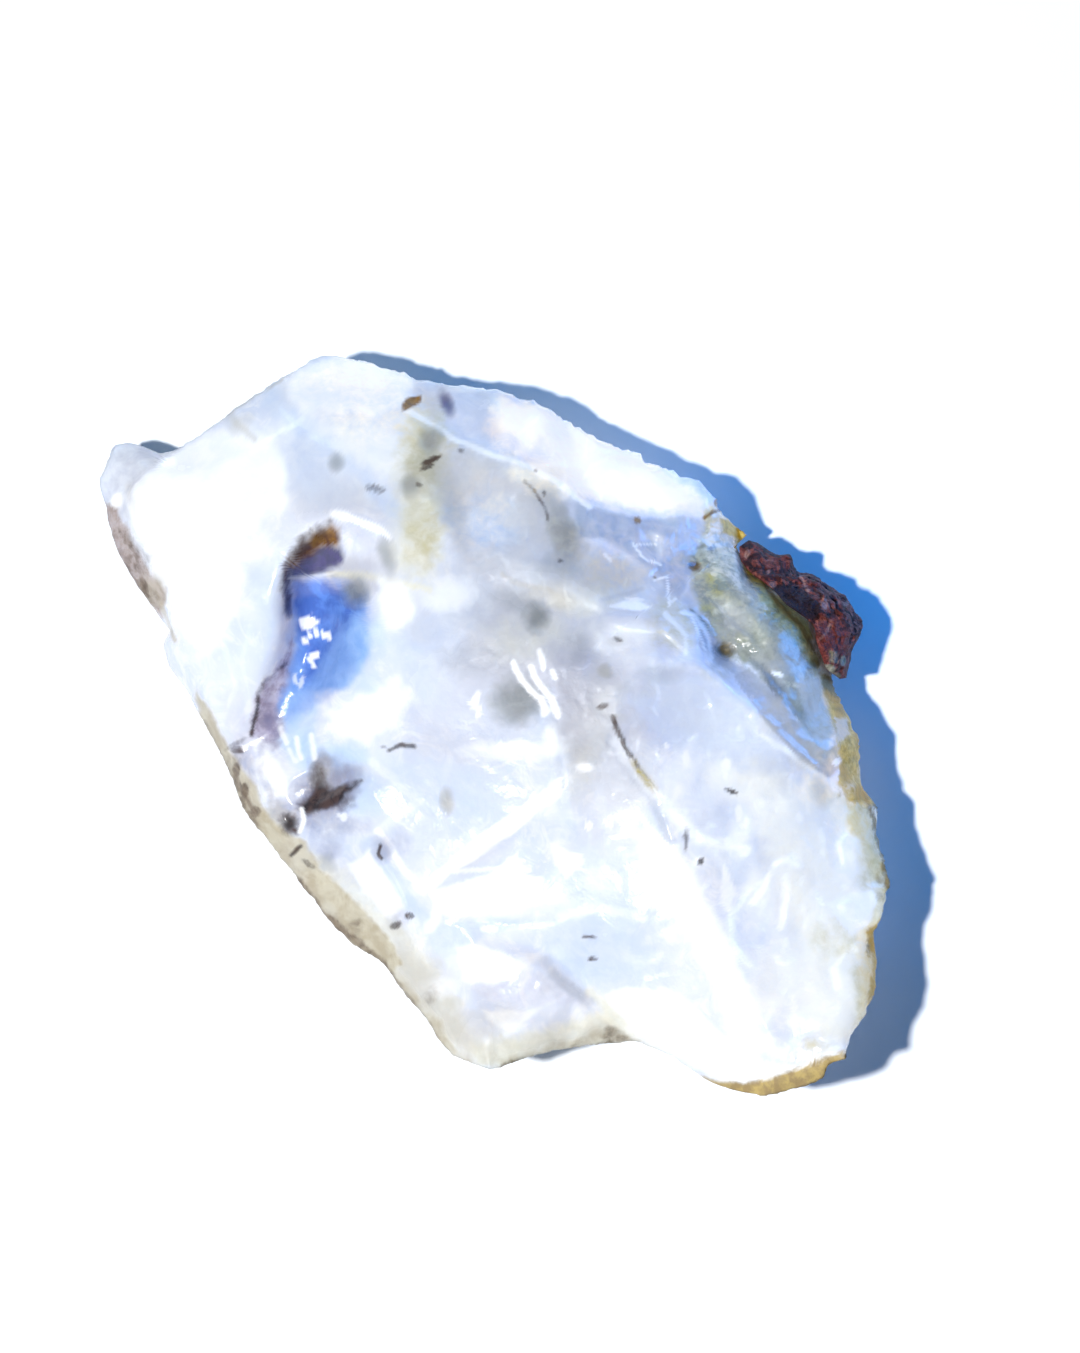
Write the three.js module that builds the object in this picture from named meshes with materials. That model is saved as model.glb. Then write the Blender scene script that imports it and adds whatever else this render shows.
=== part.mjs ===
// A rough white opal with a remnant of its reddish host rock on the right edge.
// Units are millimetres, +Z is up, and the stone lies on its flat underside at z = 0.
// Two solids: the opal, which is one chipped piece, and the host rock that clings to it.
import * as THREE from 'three';

// driving dimensions
const stoneWidth = 39.8;        // across, left lobe to right rim
const crestHeight = 12.4;       // table to the highest ridge
const contactGap = 0.3;         // clearance between the opal and the host rock
const viewElevation = 80;       // degrees above the table from which the points below were read, so
                                // a point that is high up lies nearer the viewer than it seems
const faceDish = 0.12;          // hollow at the middle of each fracture face
const chipWobble = 0.12;        // unevenness of the chipped sides under the widest edge
const hostLumps = 0.2;          // size of the lumps on the host rock
const seatWidth = 1.5;          // the host rock's seat narrows where the rock is thinner than this

// mesh fineness
const partsPerEdge = 3;
const hostStations = 26;

// Underside rings from the widest edge to the flat rest: share of the way out, share of the height.
const underRings = [
  { out: 0.985, up: 0.62 }, { out: 0.94, up: 0.3 }, { out: 0.87, up: 0.1 }, { out: 0.79, up: 0 },
];

// Lobes whose underside stays clear of the table: direction, how much, how wide.
const liftedLobes = [
  { name: 'leftLobe', angle: 2.53, lift: 0.5, spread: 0.12 },
  { name: 'lowerLeftLobe', angle: -1.42, lift: 0.6, spread: 0.26 },
];

// the sizes at which the point lists below are written
const drawnWidth = 39.8;
const drawnCrest = 15.6;

// The outline, clockwise from the left lobe: [across, up, height of the widest edge].
// Across and up are as seen from the viewing side, from the middle of the stone.
const leftLobeEdge = [
  [-17.1, 5.6, 3.7], [-18.0, 6.9, 3.9], [-18.9, 8.45, 4.2], [-19.3, 9.5, 4.3], [-19.6, 10.95, 4.4],
  [-19.9, 11.8, 4.5], [-19.85, 12.25, 4.6], [-19.15, 13.95, 4.6], [-18.45, 14.1, 4.6],
  [-17.7, 13.9, 4.6], [-16.8, 13.5, 4.6],
];
const topEdge = [
  [-15.95, 13.75, 6.2], [-14.5, 14.65, 6.6], [-13.35, 15.5, 6.8], [-11.5, 16.8, 6.9],
  [-9.7, 18.05, 6.9], [-8.85, 18.5, 6.9], [-8.05, 18.6, 6.8], [-6.65, 18.35, 6.8], [-4.55, 17.7, 6.7],
  [-4.0, 17.35, 6.6], [-2.4, 17.2, 6.4], [0.3, 16.8, 6.4], [1.8, 16.35, 6.3], [2.7, 15.95, 5.9],
];
const upperRightEdge = [
  [3.6, 15.35, 5.6], [5.45, 14.35, 5.6], [7.35, 13.55, 5.6], [7.7, 13.15, 5.4], [8.85, 12.9, 5.7],
  [10.1, 12.3, 6.8], [11.25, 11.45, 6.7], [11.35, 10.8, 5.9], [12.05, 10.1, 5.1], [12.85, 9.5, 5.0],
];
const hostSeatEdge = [
  [12.3, 8.95, 4.5], [12.9, 7.95, 4.3], [14.1, 7.0, 4.1], [15.7, 6.1, 4.0], [16.35, 5.3, 4.0],
  [16.75, 4.1, 4.0], [17.05, 3.1, 4.2], [17.05, 2.2, 4.6], [17.3, 1.4, 5.0],
];
const rightRim = [
  [17.65, 0.95, 5.5], [17.9, 0.25, 5.5], [18.5, -0.85, 6.0], [18.4, -2.6, 6.4], [18.6, -3.35, 6.2],
  [19.2, -4.15, 6.8], [19.3, -5.75, 7.1], [19.7, -7.1, 7.5], [19.9, -8.15, 8.3], [19.4, -9.85, 9.2],
  [19.0, -10.5, 9.2], [19.15, -11.55, 8.5], [19.1, -13.4, 9.4], [18.65, -14.5, 10.6],
];
const bottomLobeEdge = [
  [17.8, -15.55, 11.1], [17.45, -16.65, 11.7], [16.55, -17.1, 11.6], [16.35, -17.65, 11.2],
  [15.7, -18.05, 10.7], [14.65, -18.3, 10.1], [13.5, -18.6, 9.3], [11.75, -18.25, 7.9],
  [10.5, -17.75, 7.0], [8.9, -16.65, 6.6], [7.2, -15.95, 6.4],
];
const lowerLeftEdge = [
  [5.75, -16.05, 6.4], [3.65, -16.25, 7.0], [2.05, -16.6, 7.8], [0.9, -16.95, 8.7],
  [-0.15, -17.3, 9.4], [-0.95, -17.0, 8.9], [-2.0, -16.6, 8.0], [-2.8, -15.8, 7.2],
  [-3.4, -14.75, 6.6], [-4.35, -13.75, 6.0], [-5.65, -11.95, 5.3], [-7.1, -11.1, 4.9],
  [-8.3, -9.95, 4.6], [-9.85, -7.9, 4.3], [-11.9, -5.35, 4.0], [-12.6, -4.35, 3.9], [-13.6, -2.0, 3.7],
  [-15.45, 1.5, 3.6], [-16.45, 2.85, 3.5], [-16.7, 3.95, 3.5], [-16.35, 4.6, 3.5],
];
const outline = [
  ...leftLobeEdge, ...topEdge, ...upperRightEdge, ...hostSeatEdge, ...rightRim, ...bottomLobeEdge,
  ...lowerLeftEdge,
];

// Corners of the fracture faces: [across, up, height above the table].
const corners = {
  lowerLobe: [
    [-18.9, 12.9, 5.6], [-17.7, 13.3, 6.0], [-18.5, 11.8, 5.9], [-18.65, 10.6, 5.8], [-18.3, 9.1, 5.5],
    [-17.4, 7.1, 5.1],
  ],
  chipEdge: [
    [-16.1, 13.3, 7.2], [-17.2, 12.6, 7.6], [-18.0, 11.6, 7.8], [-18.1, 10.6, 7.8],
    [-17.7, 9.3, 7.6], [-16.8, 7.4, 7.1], [-16.1, 6.1, 6.7], [-15.9, 4.4, 6.4], [-15.3, 2.9, 6.2],
    [-14.3, 1.1, 6.2], [-13.3, -0.9, 6.2],
  ],
  leftMass: [
    [-14.7, 12.1, 9.2], [-15.2, 9.1, 9.4], [-12.2, 13.6, 9.7], [-13.9, 6.1, 9.4], [-11.7, 9.6, 11.2],
    [-12.2, 6.1, 10.8], [-12.9, 3.1, 9.0], [-9.7, 12.6, 11.3],
  ],
  topLens: [
    [-12.7, 15.1, 8.2], [-11.2, 16.3, 8.1], [-9.7, 16.9, 8.0], [-7.95, 17.7, 7.6], [-5.4, 17.3, 7.3],
    [-9.9, 15.7, 9.6], [-8.2, 15.45, 10.0], [-6.2, 15.3, 10.0], [-4.55, 16.1, 8.8],
    [-7.35, 13.6, 11.0],
  ],
  hollowLip: [
    [-9.7, 8.85, 11.9], [-10.4, 7.35, 11.9], [-10.65, 5.85, 11.4], [-10.4, 4.6, 10.6],
    [-11.0, 2.85, 9.6], [-11.6, 2.2, 9.0], [-12.1, 0.3, 7.6], [-8.3, 9.85, 12.2], [-7.7, 9.1, 12.1],
  ],
  hollowFloor: [
    [-9.1, 8.4, 10.2], [-9.8, 7.1, 9.4], [-10.15, 5.7, 8.8], [-9.9, 4.4, 8.0], [-10.5, 2.9, 7.4],
    [-11.2, 1.5, 6.8], [-11.4, -0.4, 6.1], [-8.9, 7.2, 8.9], [-9.2, 5.2, 7.7], [-9.3, 3.2, 7.1],
    [-10.0, 1.2, 6.6], [-8.2, 4.4, 8.6], [-8.9, 1.2, 7.6], [-10.0, -0.8, 6.6],
  ],
  hollowFarSide: [
    [-6.1, 7.25, 12.6], [-5.75, 4.65, 12.5], [-6.1, 2.9, 11.7], [-7.5, 1.6, 10.2], [-8.4, -0.4, 8.6],
  ],
  crown: [
    [-5.15, 9.1, 12.8], [-3.2, 12.6, 11.3], [-2.2, 9.1, 13.0], [-3.2, 6.1, 13.8], [-2.7, 2.1, 14.0],
    [0.25, 7.95, 13.6], [0.3, 4.1, 14.8], [2.95, 3.1, 15.6], [1.3, 1.1, 15.0], [5.2, 5.8, 14.3],
    [8.05, 5.3, 13.6], [1.0, 10.2, 12.4], [3.4, 8.9, 12.9],
  ],
  bevelRidge: [
    [-4.45, 15.3, 9.8], [-3.2, 14.5, 10.2], [-1.9, 14.05, 10.5], [1.4, 12.9, 10.9], [3.55, 11.9, 11.2],
    [4.95, 10.55, 11.3], [7.15, 10.05, 10.3], [9.65, 10.3, 8.9], [11.1, 10.5, 7.8],
  ],
  bevelFoot: [
    [-3.7, 15.7, 9.0], [-1.6, 14.6, 9.5], [1.7, 13.4, 9.6], [4.0, 12.3, 9.8], [5.5, 11.0, 9.6],
    [7.3, 10.7, 9.0], [9.6, 10.9, 8.2],
  ],
  upperRightChips: [
    [-2.2, 16.5, 8.4], [0.3, 16.1, 8.6], [2.55, 15.2, 8.6], [5.3, 13.7, 8.5], [7.8, 12.5, 8.4],
    [10.3, 11.5, 7.8], [4.8, 13.0, 9.1], [0.6, 15.2, 9.1],
  ],
  paleLedge: [
    [0.2, 8.0, 13.6], [0.9, 7.05, 14.1], [2.0, 6.8, 14.4], [3.9, 6.3, 14.5],
    [0.4, 7.2, 13.4], [1.5, 6.3, 13.7], [3.4, 5.9, 13.9],
  ],
  slateSteps: [
    [8.4, 9.15, 10.2], [7.15, 8.8, 11.0], [7.6, 8.0, 11.4], [8.3, 7.3, 11.2], [8.0, 9.0, 9.8],
    [5.45, 6.3, 13.6], [5.5, 5.4, 14.2], [8.0, 5.75, 12.6], [5.3, 8.85, 12.2], [9.8, 8.1, 9.1],
    [12.05, 8.1, 8.1],
  ],
  blueSteps: [
    [9.3, 5.5, 12.4], [10.1, 4.8, 12.2], [10.6, 3.6, 12.2], [11.7, 2.7, 11.6],
    [9.8, 5.9, 10.9], [10.7, 5.0, 10.5], [11.3, 3.7, 10.4], [12.2, 3.1, 10.2],
  ],
  greenHollow: [
    [12.3, 6.4, 10.4], [13.9, 4.3, 10.6], [15.2, 1.7, 10.9], [17.0, -0.9, 10.2], [13.5, 1.3, 11.9],
    [15.0, -0.6, 11.6], [16.6, -2.2, 10.6],
  ],
  hostSeat: [
    [11.9, 8.75, 6.8], [13.8, 6.6, 8.2], [15.55, 5.0, 8.6], [16.1, 3.2, 8.6], [16.7, 1.95, 7.0],
  ],
  lensTop: [
    [6.25, 1.55, 15.4], [7.1, 2.4, 15.2], [8.15, 3.05, 14.9], [10.1, 2.9, 14.2], [11.25, 2.1, 13.7],
    [12.3, 1.1, 13.3], [13.5, 0.1, 12.8], [14.7, -1.1, 12.1], [16.1, -2.4, 11.1], [17.8, -3.4, 9.6],
  ],
  lensFoot: [
    [6.0, -0.1, 15.2], [7.1, -2.25, 14.6], [8.2, -3.65, 14.1], [9.5, -4.9, 13.7], [10.8, -5.9, 13.2],
    [12.75, -6.15, 12.6], [14.8, -3.9, 11.8], [7.5, -3.3, 13.7], [9.3, -5.5, 13.0], [10.9, -6.5, 12.5],
  ],
  longRidge: [
    [8.9, -6.05, 13.4], [9.9, -8.5, 13.1], [11.3, -10.7, 12.7], [12.35, -12.9, 12.4],
    [13.4, -14.85, 12.1], [14.2, -16.7, 11.6],
  ],
  lowerTrough: [
    [5.3, -2.9, 13.4], [6.3, -6.4, 12.2], [7.8, -10.4, 11.5], [9.8, -13.9, 10.8], [11.05, -16.9, 9.0],
    [7.3, -14.2, 9.4], [8.2, -6.6, 12.5], [9.2, -9.2, 12.0],
  ],
  centreRidge: [
    [3.2, 0.1, 15.2], [3.4, -1.6, 14.6], [3.55, -3.05, 14.0], [4.0, -5.05, 13.0], [5.2, -6.8, 11.6],
  ],
  leftFlank: [
    [2.4, -0.2, 14.4], [2.2, -2.4, 13.2], [-1.7, -0.9, 13.0], [-4.7, -0.4, 12.0], [-3.2, -5.4, 10.2],
    [-6.0, -6.05, 8.6], [-7.2, -3.9, 9.0], [-8.7, -3.15, 7.7], [-10.2, -2.4, 7.2], [-11.3, -3.3, 6.5],
    [-6.6, -6.9, 7.6], [-4.4, -9.6, 8.1],
  ],
  whiteWedge: [
    [3.2, -2.8, 13.4], [0.9, -4.9, 11.9], [-1.9, -7.3, 10.3], [-3.6, -8.2, 9.4],
    [1.3, -5.6, 10.9], [-1.5, -8.0, 9.4], [2.45, -9.25, 9.9], [-0.4, -10.5, 8.9], [2.2, -7.0, 10.6],
  ],
  wallTop: [
    [-12.6, -2.1, 5.9], [-11.6, -4.2, 5.9], [-9.7, -6.6, 6.0], [-7.7, -9.1, 6.3], [-4.7, -12.0, 7.2],
    [-3.1, -13.8, 8.2], [-1.9, -15.3, 9.4], [-0.3, -16.0, 10.0], [2.1, -15.3, 9.5], [4.8, -15.1, 7.9],
  ],
  lobeSeam: [
    [-0.9, -11.0, 9.1], [1.6, -11.7, 9.3], [2.9, -12.5, 9.1], [3.9, -13.6, 8.6], [5.5, -14.8, 7.8],
    [1.9, -11.1, 8.5], [3.3, -11.8, 8.2], [4.6, -13.0, 7.8], [6.0, -14.3, 7.3],
  ],
  lobeFaces: [
    [-1.2, -13.1, 9.3], [1.2, -13.8, 9.6], [-4.7, -9.9, 8.2],
  ],
  rightFacets: [
    [18.0, -4.3, 8.8], [16.8, -6.4, 10.2], [18.6, -6.5, 9.0], [16.4, -9.2, 10.6], [17.9, -8.3, 9.7],
    [18.8, -9.1, 9.4], [18.1, -10.7, 10.2], [18.2, -13.1, 11.0], [16.0, -12.9, 11.4],
    [17.0, -15.4, 12.2], [15.3, -16.9, 11.8], [13.8, -8.9, 11.8], [14.0, -11.9, 11.4],
    [14.5, -7.6, 11.7], [14.8, -14.4, 11.7], [13.4, -7.6, 12.0], [12.0, -9.2, 12.2],
    [14.4, -9.5, 11.5],
  ],
};

// Bowls left by small flakes and vugs: centre, half lengths, turn in degrees and depth.
const scoops = [
  { name: 'hollowHeart', at: [-9.0, 4.6], half: [3.4, 1.6], turn: 80, depth: 0.7 },
  { name: 'brownStar', at: [-8.8, -3.2], half: [1.6, 0.9], turn: 20, depth: 0.5 },
  { name: 'crownDish', at: [-0.6, 10.9], half: [3.0, 1.9], turn: -30, depth: 0.5 },
  { name: 'lensDish', at: [11.0, -1.4], half: [4.2, 2.4], turn: -42, depth: 0.4 },
  { name: 'footDish', at: [9.6, -13.0], half: [4.2, 2.2], turn: -60, depth: 0.5 },
  { name: 'lobeDish', at: [1.0, -13.6], half: [2.2, 1.3], turn: -20, depth: 0.4 },
  { name: 'flankDish', at: [-3.4, -3.2], half: [3.0, 2.2], turn: -40, depth: 0.5 },
  { name: 'greenVug', at: [11.5, 3.6], half: [0.9, 0.8], turn: 0, depth: 0.5 },
  { name: 'chipDish', at: [-14.6, 8.0], half: [4.2, 2.0], turn: -65, depth: 0.4 },
];

// The host rock, station by station along the edge: the contact line on top, the outer edge.
const hostPath = [
  { inner: [12.5, 8.7, 6.1], outer: [12.75, 9.1, 5.5] },
  { inner: [12.65, 8.1, 6.8], outer: [13.4, 8.85, 5.3] },
  { inner: [13.15, 7.55, 7.4], outer: [14.15, 8.35, 4.8] },
  { inner: [13.6, 7.1, 7.9], outer: [14.8, 8.3, 4.6] },
  { inner: [13.95, 6.5, 8.4], outer: [15.2, 7.5, 4.7] },
  { inner: [14.5, 5.85, 9.0], outer: [16.05, 7.35, 4.7] },
  { inner: [15.2, 5.35, 9.1], outer: [17.2, 6.55, 4.8] },
  { inner: [15.85, 4.8, 9.0], outer: [18.05, 5.45, 4.9] },
  { inner: [16.0, 4.05, 9.2], outer: [18.4, 4.7, 5.2] },
  { inner: [16.25, 3.3, 9.0], outer: [17.95, 3.7, 5.2] },
  { inner: [16.55, 2.65, 8.1], outer: [17.75, 3.0, 5.5] },
  { inner: [17.25, 2.15, 6.4], outer: [17.6, 2.2, 5.6] },
];

// The host rock's section: share of the way from the contact line to the outer edge, what is added
// to it, share of the fall to the outer edge, share of that height, and how far it is lumpy.
const hostSection = [
  { out: 0, add: contactGap, fall: 0, level: 1, lumps: 0 },
  { out: 0.35, add: 0.1, fall: 0.08, level: 1, lumps: 1 },
  { out: 0.6, add: 0.1, fall: 0.3, level: 1, lumps: 1 },
  { out: 0.85, add: 0, fall: 0.62, level: 1, lumps: 1 },
  { out: 1, add: 0, fall: 1, level: 1, lumps: 0.5 },
  { out: 0.96, add: 0, fall: 1, level: 0.72, lumps: 0.5 },
  { out: 0.82, add: 0.06, fall: 1, level: 0.45, lumps: 0 },
  { out: 0.36, add: contactGap + 0.25, fall: 1, level: 0.42, lumps: 0 },
  { out: 0.36, add: contactGap + 0.25, fall: 1, level: 0.75, lumps: 0 },
];

const widthScale = stoneWidth / drawnWidth;
const heightScale = crestHeight / drawnCrest;
const viewAngle = THREE.MathUtils.degToRad(viewElevation);
const groundPoints = [...outline, ...Object.values(corners).flat()];

// Delaunay triangles over the corners and the outline, by adding one point at a time. The corners
// along the outline stand close enough together for every outline edge to be kept.
function triangulate(points) {
  const far = 400;
  const all = [...points, [-far, -far, 0], [far, -far, 0], [0, far, 0]];
  const first = points.length;
  let triangles = [[first, first + 1, first + 2]];
  const inCircle = (triangle, p) => {
    const [a, b, c] = triangle.map((i) => [all[i][0] - p[0], all[i][1] - p[1]]);
    const square = (q) => q[0] * q[0] + q[1] * q[1];
    const sum = square(a) * (b[0] * c[1] - c[0] * b[1]) - square(b) * (a[0] * c[1] - c[0] * a[1])
      + square(c) * (a[0] * b[1] - b[0] * a[1]);
    return sum > 0;
  };
  points.forEach((point, index) => {
    const hit = triangles.filter((triangle) => inCircle(triangle, point));
    const edges = hit.flatMap(([a, b, c]) => [[a, b], [b, c], [c, a]]);
    const hole = edges.filter(([a, b]) => !edges.some(([c, d]) => c === b && d === a));
    triangles = triangles.filter((triangle) => !hit.includes(triangle));
    hole.forEach(([a, b]) => triangles.push([a, b, index]));
  });
  return triangles.filter((triangle) => triangle.every((i) => i < first));
}

// Is a place within the outline? Counts the outline edges to its right.
function withinOutline(x, y) {
  return outline.reduce((inside, [bx, by], i) => {
    const [ax, ay] = outline[(i + outline.length - 1) % outline.length];
    const crosses = (ay > y) !== (by > y) && x < ((bx - ax) * (y - ay)) / (by - ay) + ax;
    return crosses ? !inside : inside;
  }, false);
}

const faces = triangulate(groundPoints).filter((triangle) => {
  const middle = (axis) => triangle.reduce((sum, i) => sum + groundPoints[i][axis], 0) / 3;
  return withinOutline(middle(0), middle(1));
});

function bowlDepth(bowl, x, y) {
  const turn = THREE.MathUtils.degToRad(bowl.turn);
  const [dx, dy] = [x - bowl.at[0], y - bowl.at[1]];
  const along = (dx * Math.cos(turn) + dy * Math.sin(turn)) / bowl.half[0];
  const across = (dy * Math.cos(turn) - dx * Math.sin(turn)) / bowl.half[1];
  return bowl.depth * Math.max(0, 1 - along * along - across * across);
}

// A seen point becomes a point of the stone: it is where the line of sight meets its height.
function stand(x, y, z) {
  const height = z * heightScale;
  const depth = (y * widthScale) / Math.sin(viewAngle) - height / Math.tan(viewAngle);
  return [x * widthScale, depth, height];
}

function solidFrom(name, positions, indices, material) {
  const geometry = new THREE.BufferGeometry();
  geometry.setAttribute('position', new THREE.Float32BufferAttribute(positions, 3));
  geometry.setIndex(indices);
  geometry.computeVertexNormals();
  const mesh = new THREE.Mesh(geometry, material);
  mesh.name = name;
  return mesh;
}

// Underside at one place below the widest edge. Each ring is a share of the way out and a share of
// the rim height; under a lifted lobe it curls up more slowly.
function underHeight(angle, ring, rimHeight) {
  const lift = liftedLobes.reduce((sum, lobe) => {
    const off = Math.atan2(Math.sin(angle - lobe.angle), Math.cos(angle - lobe.angle));
    return sum + lobe.lift * Math.exp(-((off / lobe.spread) ** 2));
  }, 0);
  const lumps = chipWobble * (Math.sin(7 * angle + 1) + 0.7 * Math.sin(17 * angle + 9 * ring.out));
  const climb = ring.up > 0 ? ring.up + (1 - ring.up) * lift + lumps * ring.up : 0;
  return rimHeight * Math.min(0.92, climb);
}

function makeOpal(material) {
  const positions = [];
  const indices = [];
  const push = (point) => positions.push(...point) / 3 - 1;
  const placed = new Map();

  // one point of a fracture face, from its three corners and the shares of them, in whole parts
  const facePoint = (triangle, parts) => {
    const mix = (axis) => triangle.reduce((sum, corner, i) => (
      sum + groundPoints[corner][axis] * parts[i]), 0) / partsPerEdge;
    const key = triangle.map((corner, i) => [corner, parts[i]]).filter((pair) => pair[1] > 0)
      .sort((a, b) => a[0] - b[0]).join(';');
    if (!placed.has(key)) {
      const [x, y] = [mix(0), mix(1)];
      const onOutline = triangle.every((corner, i) => parts[i] === 0 || corner < outline.length)
        && parts.includes(0);
      const bowls = onOutline ? 0 : scoops.reduce((sum, bowl) => sum + bowlDepth(bowl, x, y), 0);
      const dish = faceDish * parts.reduce((product, part) => product * ((3 * part) / partsPerEdge), 1);
      placed.set(key, push(stand(x, y, mix(2) - bowls - dish)));
    }
    return placed.get(key);
  };
  faces.forEach((triangle) => {
    const at = (i, j) => facePoint(triangle, [partsPerEdge - i - j, i, j]);
    for (let i = 0; i < partsPerEdge; i += 1) {
      for (let j = 0; i + j < partsPerEdge; j += 1) {
        indices.push(at(i, j), at(i + 1, j), at(i, j + 1));
        if (i + j < partsPerEdge - 1) indices.push(at(i + 1, j), at(i + 1, j + 1), at(i, j + 1));
      }
    }
  });

  // underside: rings from the widest edge inwards, closed by a fan on the flat rest
  const rim = outline.flatMap((corner, i) => {
    const next = outline[(i + 1) % outline.length];
    return Array.from({ length: partsPerEdge }, (_, part) => {
      const [x, y, z] = corner.map((value, axis) => (
        value + ((next[axis] - value) * part) / partsPerEdge));
      const pair = part === 0 ? [[i, partsPerEdge]]
        : [[i, partsPerEdge - part], [(i + 1) % outline.length, part]];
      return { x, y, z, index: placed.get(pair.sort((a, b) => a[0] - b[0]).join(';')) };
    });
  });
  let outer = rim.map((entry) => entry.index);
  underRings.forEach((ring) => {
    const inner = rim.map(({ x, y, z }) => push(stand(
      ring.out * x, ring.out * y, underHeight(Math.atan2(y, x), ring, z))));
    rim.forEach((_, i) => {
      const j = (i + 1) % rim.length;
      indices.push(outer[i], outer[j], inner[j], outer[i], inner[j], inner[i]);
    });
    outer = inner;
  });
  const middle = push([0, 0, 0]);
  outer.forEach((index, i) => indices.push(index, outer[(i + 1) % outer.length], middle));
  return solidFrom('opal', positions, indices, material);
}

// The host rock is a closed loop carried along the edge: over its lumpy top from the contact line to
// the outer edge, down to its foot, and back up beside the opal.
function makeHostRock(material) {
  const curve = (key) => new THREE.CatmullRomCurve3(hostPath.map((p) => new THREE.Vector3(...p[key])));
  const innerCurve = curve('inner');
  const outerCurve = curve('outer');
  const positions = [];
  const indices = [];
  const loops = [];
  for (let s = 0; s <= hostStations; s += 1) {
    const place = s / hostStations;
    const inner = innerCurve.getPoint(place);
    const outer = outerCurve.getPoint(place);
    const out = new THREE.Vector3(outer.x - inner.x, outer.y - inner.y, 0).normalize();
    const wide = Math.hypot(outer.x - inner.x, outer.y - inner.y);
    const drop = inner.z - outer.z;
    const loop = hostSection.map(({ out: share, add, fall, level, lumps }, k) => {
      const reach = share * wide + add * Math.min(1, wide / seatWidth);
      const wave = Math.sin(28 * place + 1.9 * k) + 0.6 * Math.sin(61 * place + 4.1 * k);
      const lump = hostLumps * lumps * wave * Math.sin(Math.PI * place);
      return [inner.x + out.x * reach, inner.y + out.y * reach, (inner.z - fall * drop) * level + lump];
    });
    loops.push(loop.map((point) => {
      positions.push(...stand(...point));
      return positions.length / 3 - 1;
    }));
  }
  const around = loops[0].length;
  for (let s = 0; s < hostStations; s += 1) {
    for (let i = 0; i < around; i += 1) {
      const j = (i + 1) % around;
      indices.push(loops[s][i], loops[s + 1][j], loops[s][j]);
      indices.push(loops[s][i], loops[s + 1][i], loops[s + 1][j]);
    }
  }
  const last = loops[hostStations];
  for (let i = 1; i < around - 1; i += 1) {
    indices.push(loops[0][0], loops[0][i], loops[0][i + 1]);
    indices.push(last[0], last[i + 1], last[i]);
  }
  return solidFrom('host_rock', positions, indices, material);
}

const milkOpal = new THREE.MeshStandardMaterial({ color: '#e4ebf7', roughness: 0.22, metalness: 0 });
const ironRock = new THREE.MeshStandardMaterial({ color: '#55302c', roughness: 0.85, metalness: 0 });

const stone = new THREE.Group();
stone.name = 'rough_white_opal';
stone.add(makeOpal(milkOpal), makeHostRock(ironRock));

// the origin is on the table, below the middle of the stone's box
const box = new THREE.Box3().setFromObject(stone);
const middle = box.getCenter(new THREE.Vector3());
stone.position.set(-middle.x, -middle.y, -box.min.z);

export default stone;
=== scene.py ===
import math

import bpy
import numpy as np
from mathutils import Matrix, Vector
from mathutils.geometry import delaunay_2d_cdt


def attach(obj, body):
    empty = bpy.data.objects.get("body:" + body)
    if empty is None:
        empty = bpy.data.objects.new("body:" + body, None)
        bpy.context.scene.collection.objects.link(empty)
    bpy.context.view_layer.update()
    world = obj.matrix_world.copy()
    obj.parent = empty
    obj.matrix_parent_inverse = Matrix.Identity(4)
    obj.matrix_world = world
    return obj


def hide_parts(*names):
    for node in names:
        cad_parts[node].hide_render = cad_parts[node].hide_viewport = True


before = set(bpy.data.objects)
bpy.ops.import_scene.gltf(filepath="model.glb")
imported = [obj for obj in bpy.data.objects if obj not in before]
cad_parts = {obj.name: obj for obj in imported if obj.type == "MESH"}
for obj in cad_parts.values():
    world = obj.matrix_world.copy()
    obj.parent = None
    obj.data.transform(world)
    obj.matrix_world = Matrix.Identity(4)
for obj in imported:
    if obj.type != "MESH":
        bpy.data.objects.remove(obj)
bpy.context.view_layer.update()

print("frame loaded")

mm = 0.001

# how the stone is looked at, and how its own millimetres lie in the picture
view = {
    "elevation": 80.0,            # degrees above the table
    "pictureWide": 1080,
    "pictureHigh": 1353,
    "pixelsPerMm": 20.0,
    "stoneMiddle": (494, 722),    # picture pixel of the stone's middle
    "distance": 600.0,            # mm from the eye to the stone
    "planeHeight": 5.0,           # mm above the table, where the scale above holds
    "sensor": 36.0,
}
eyeAngle = math.radians(view["elevation"])

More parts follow.
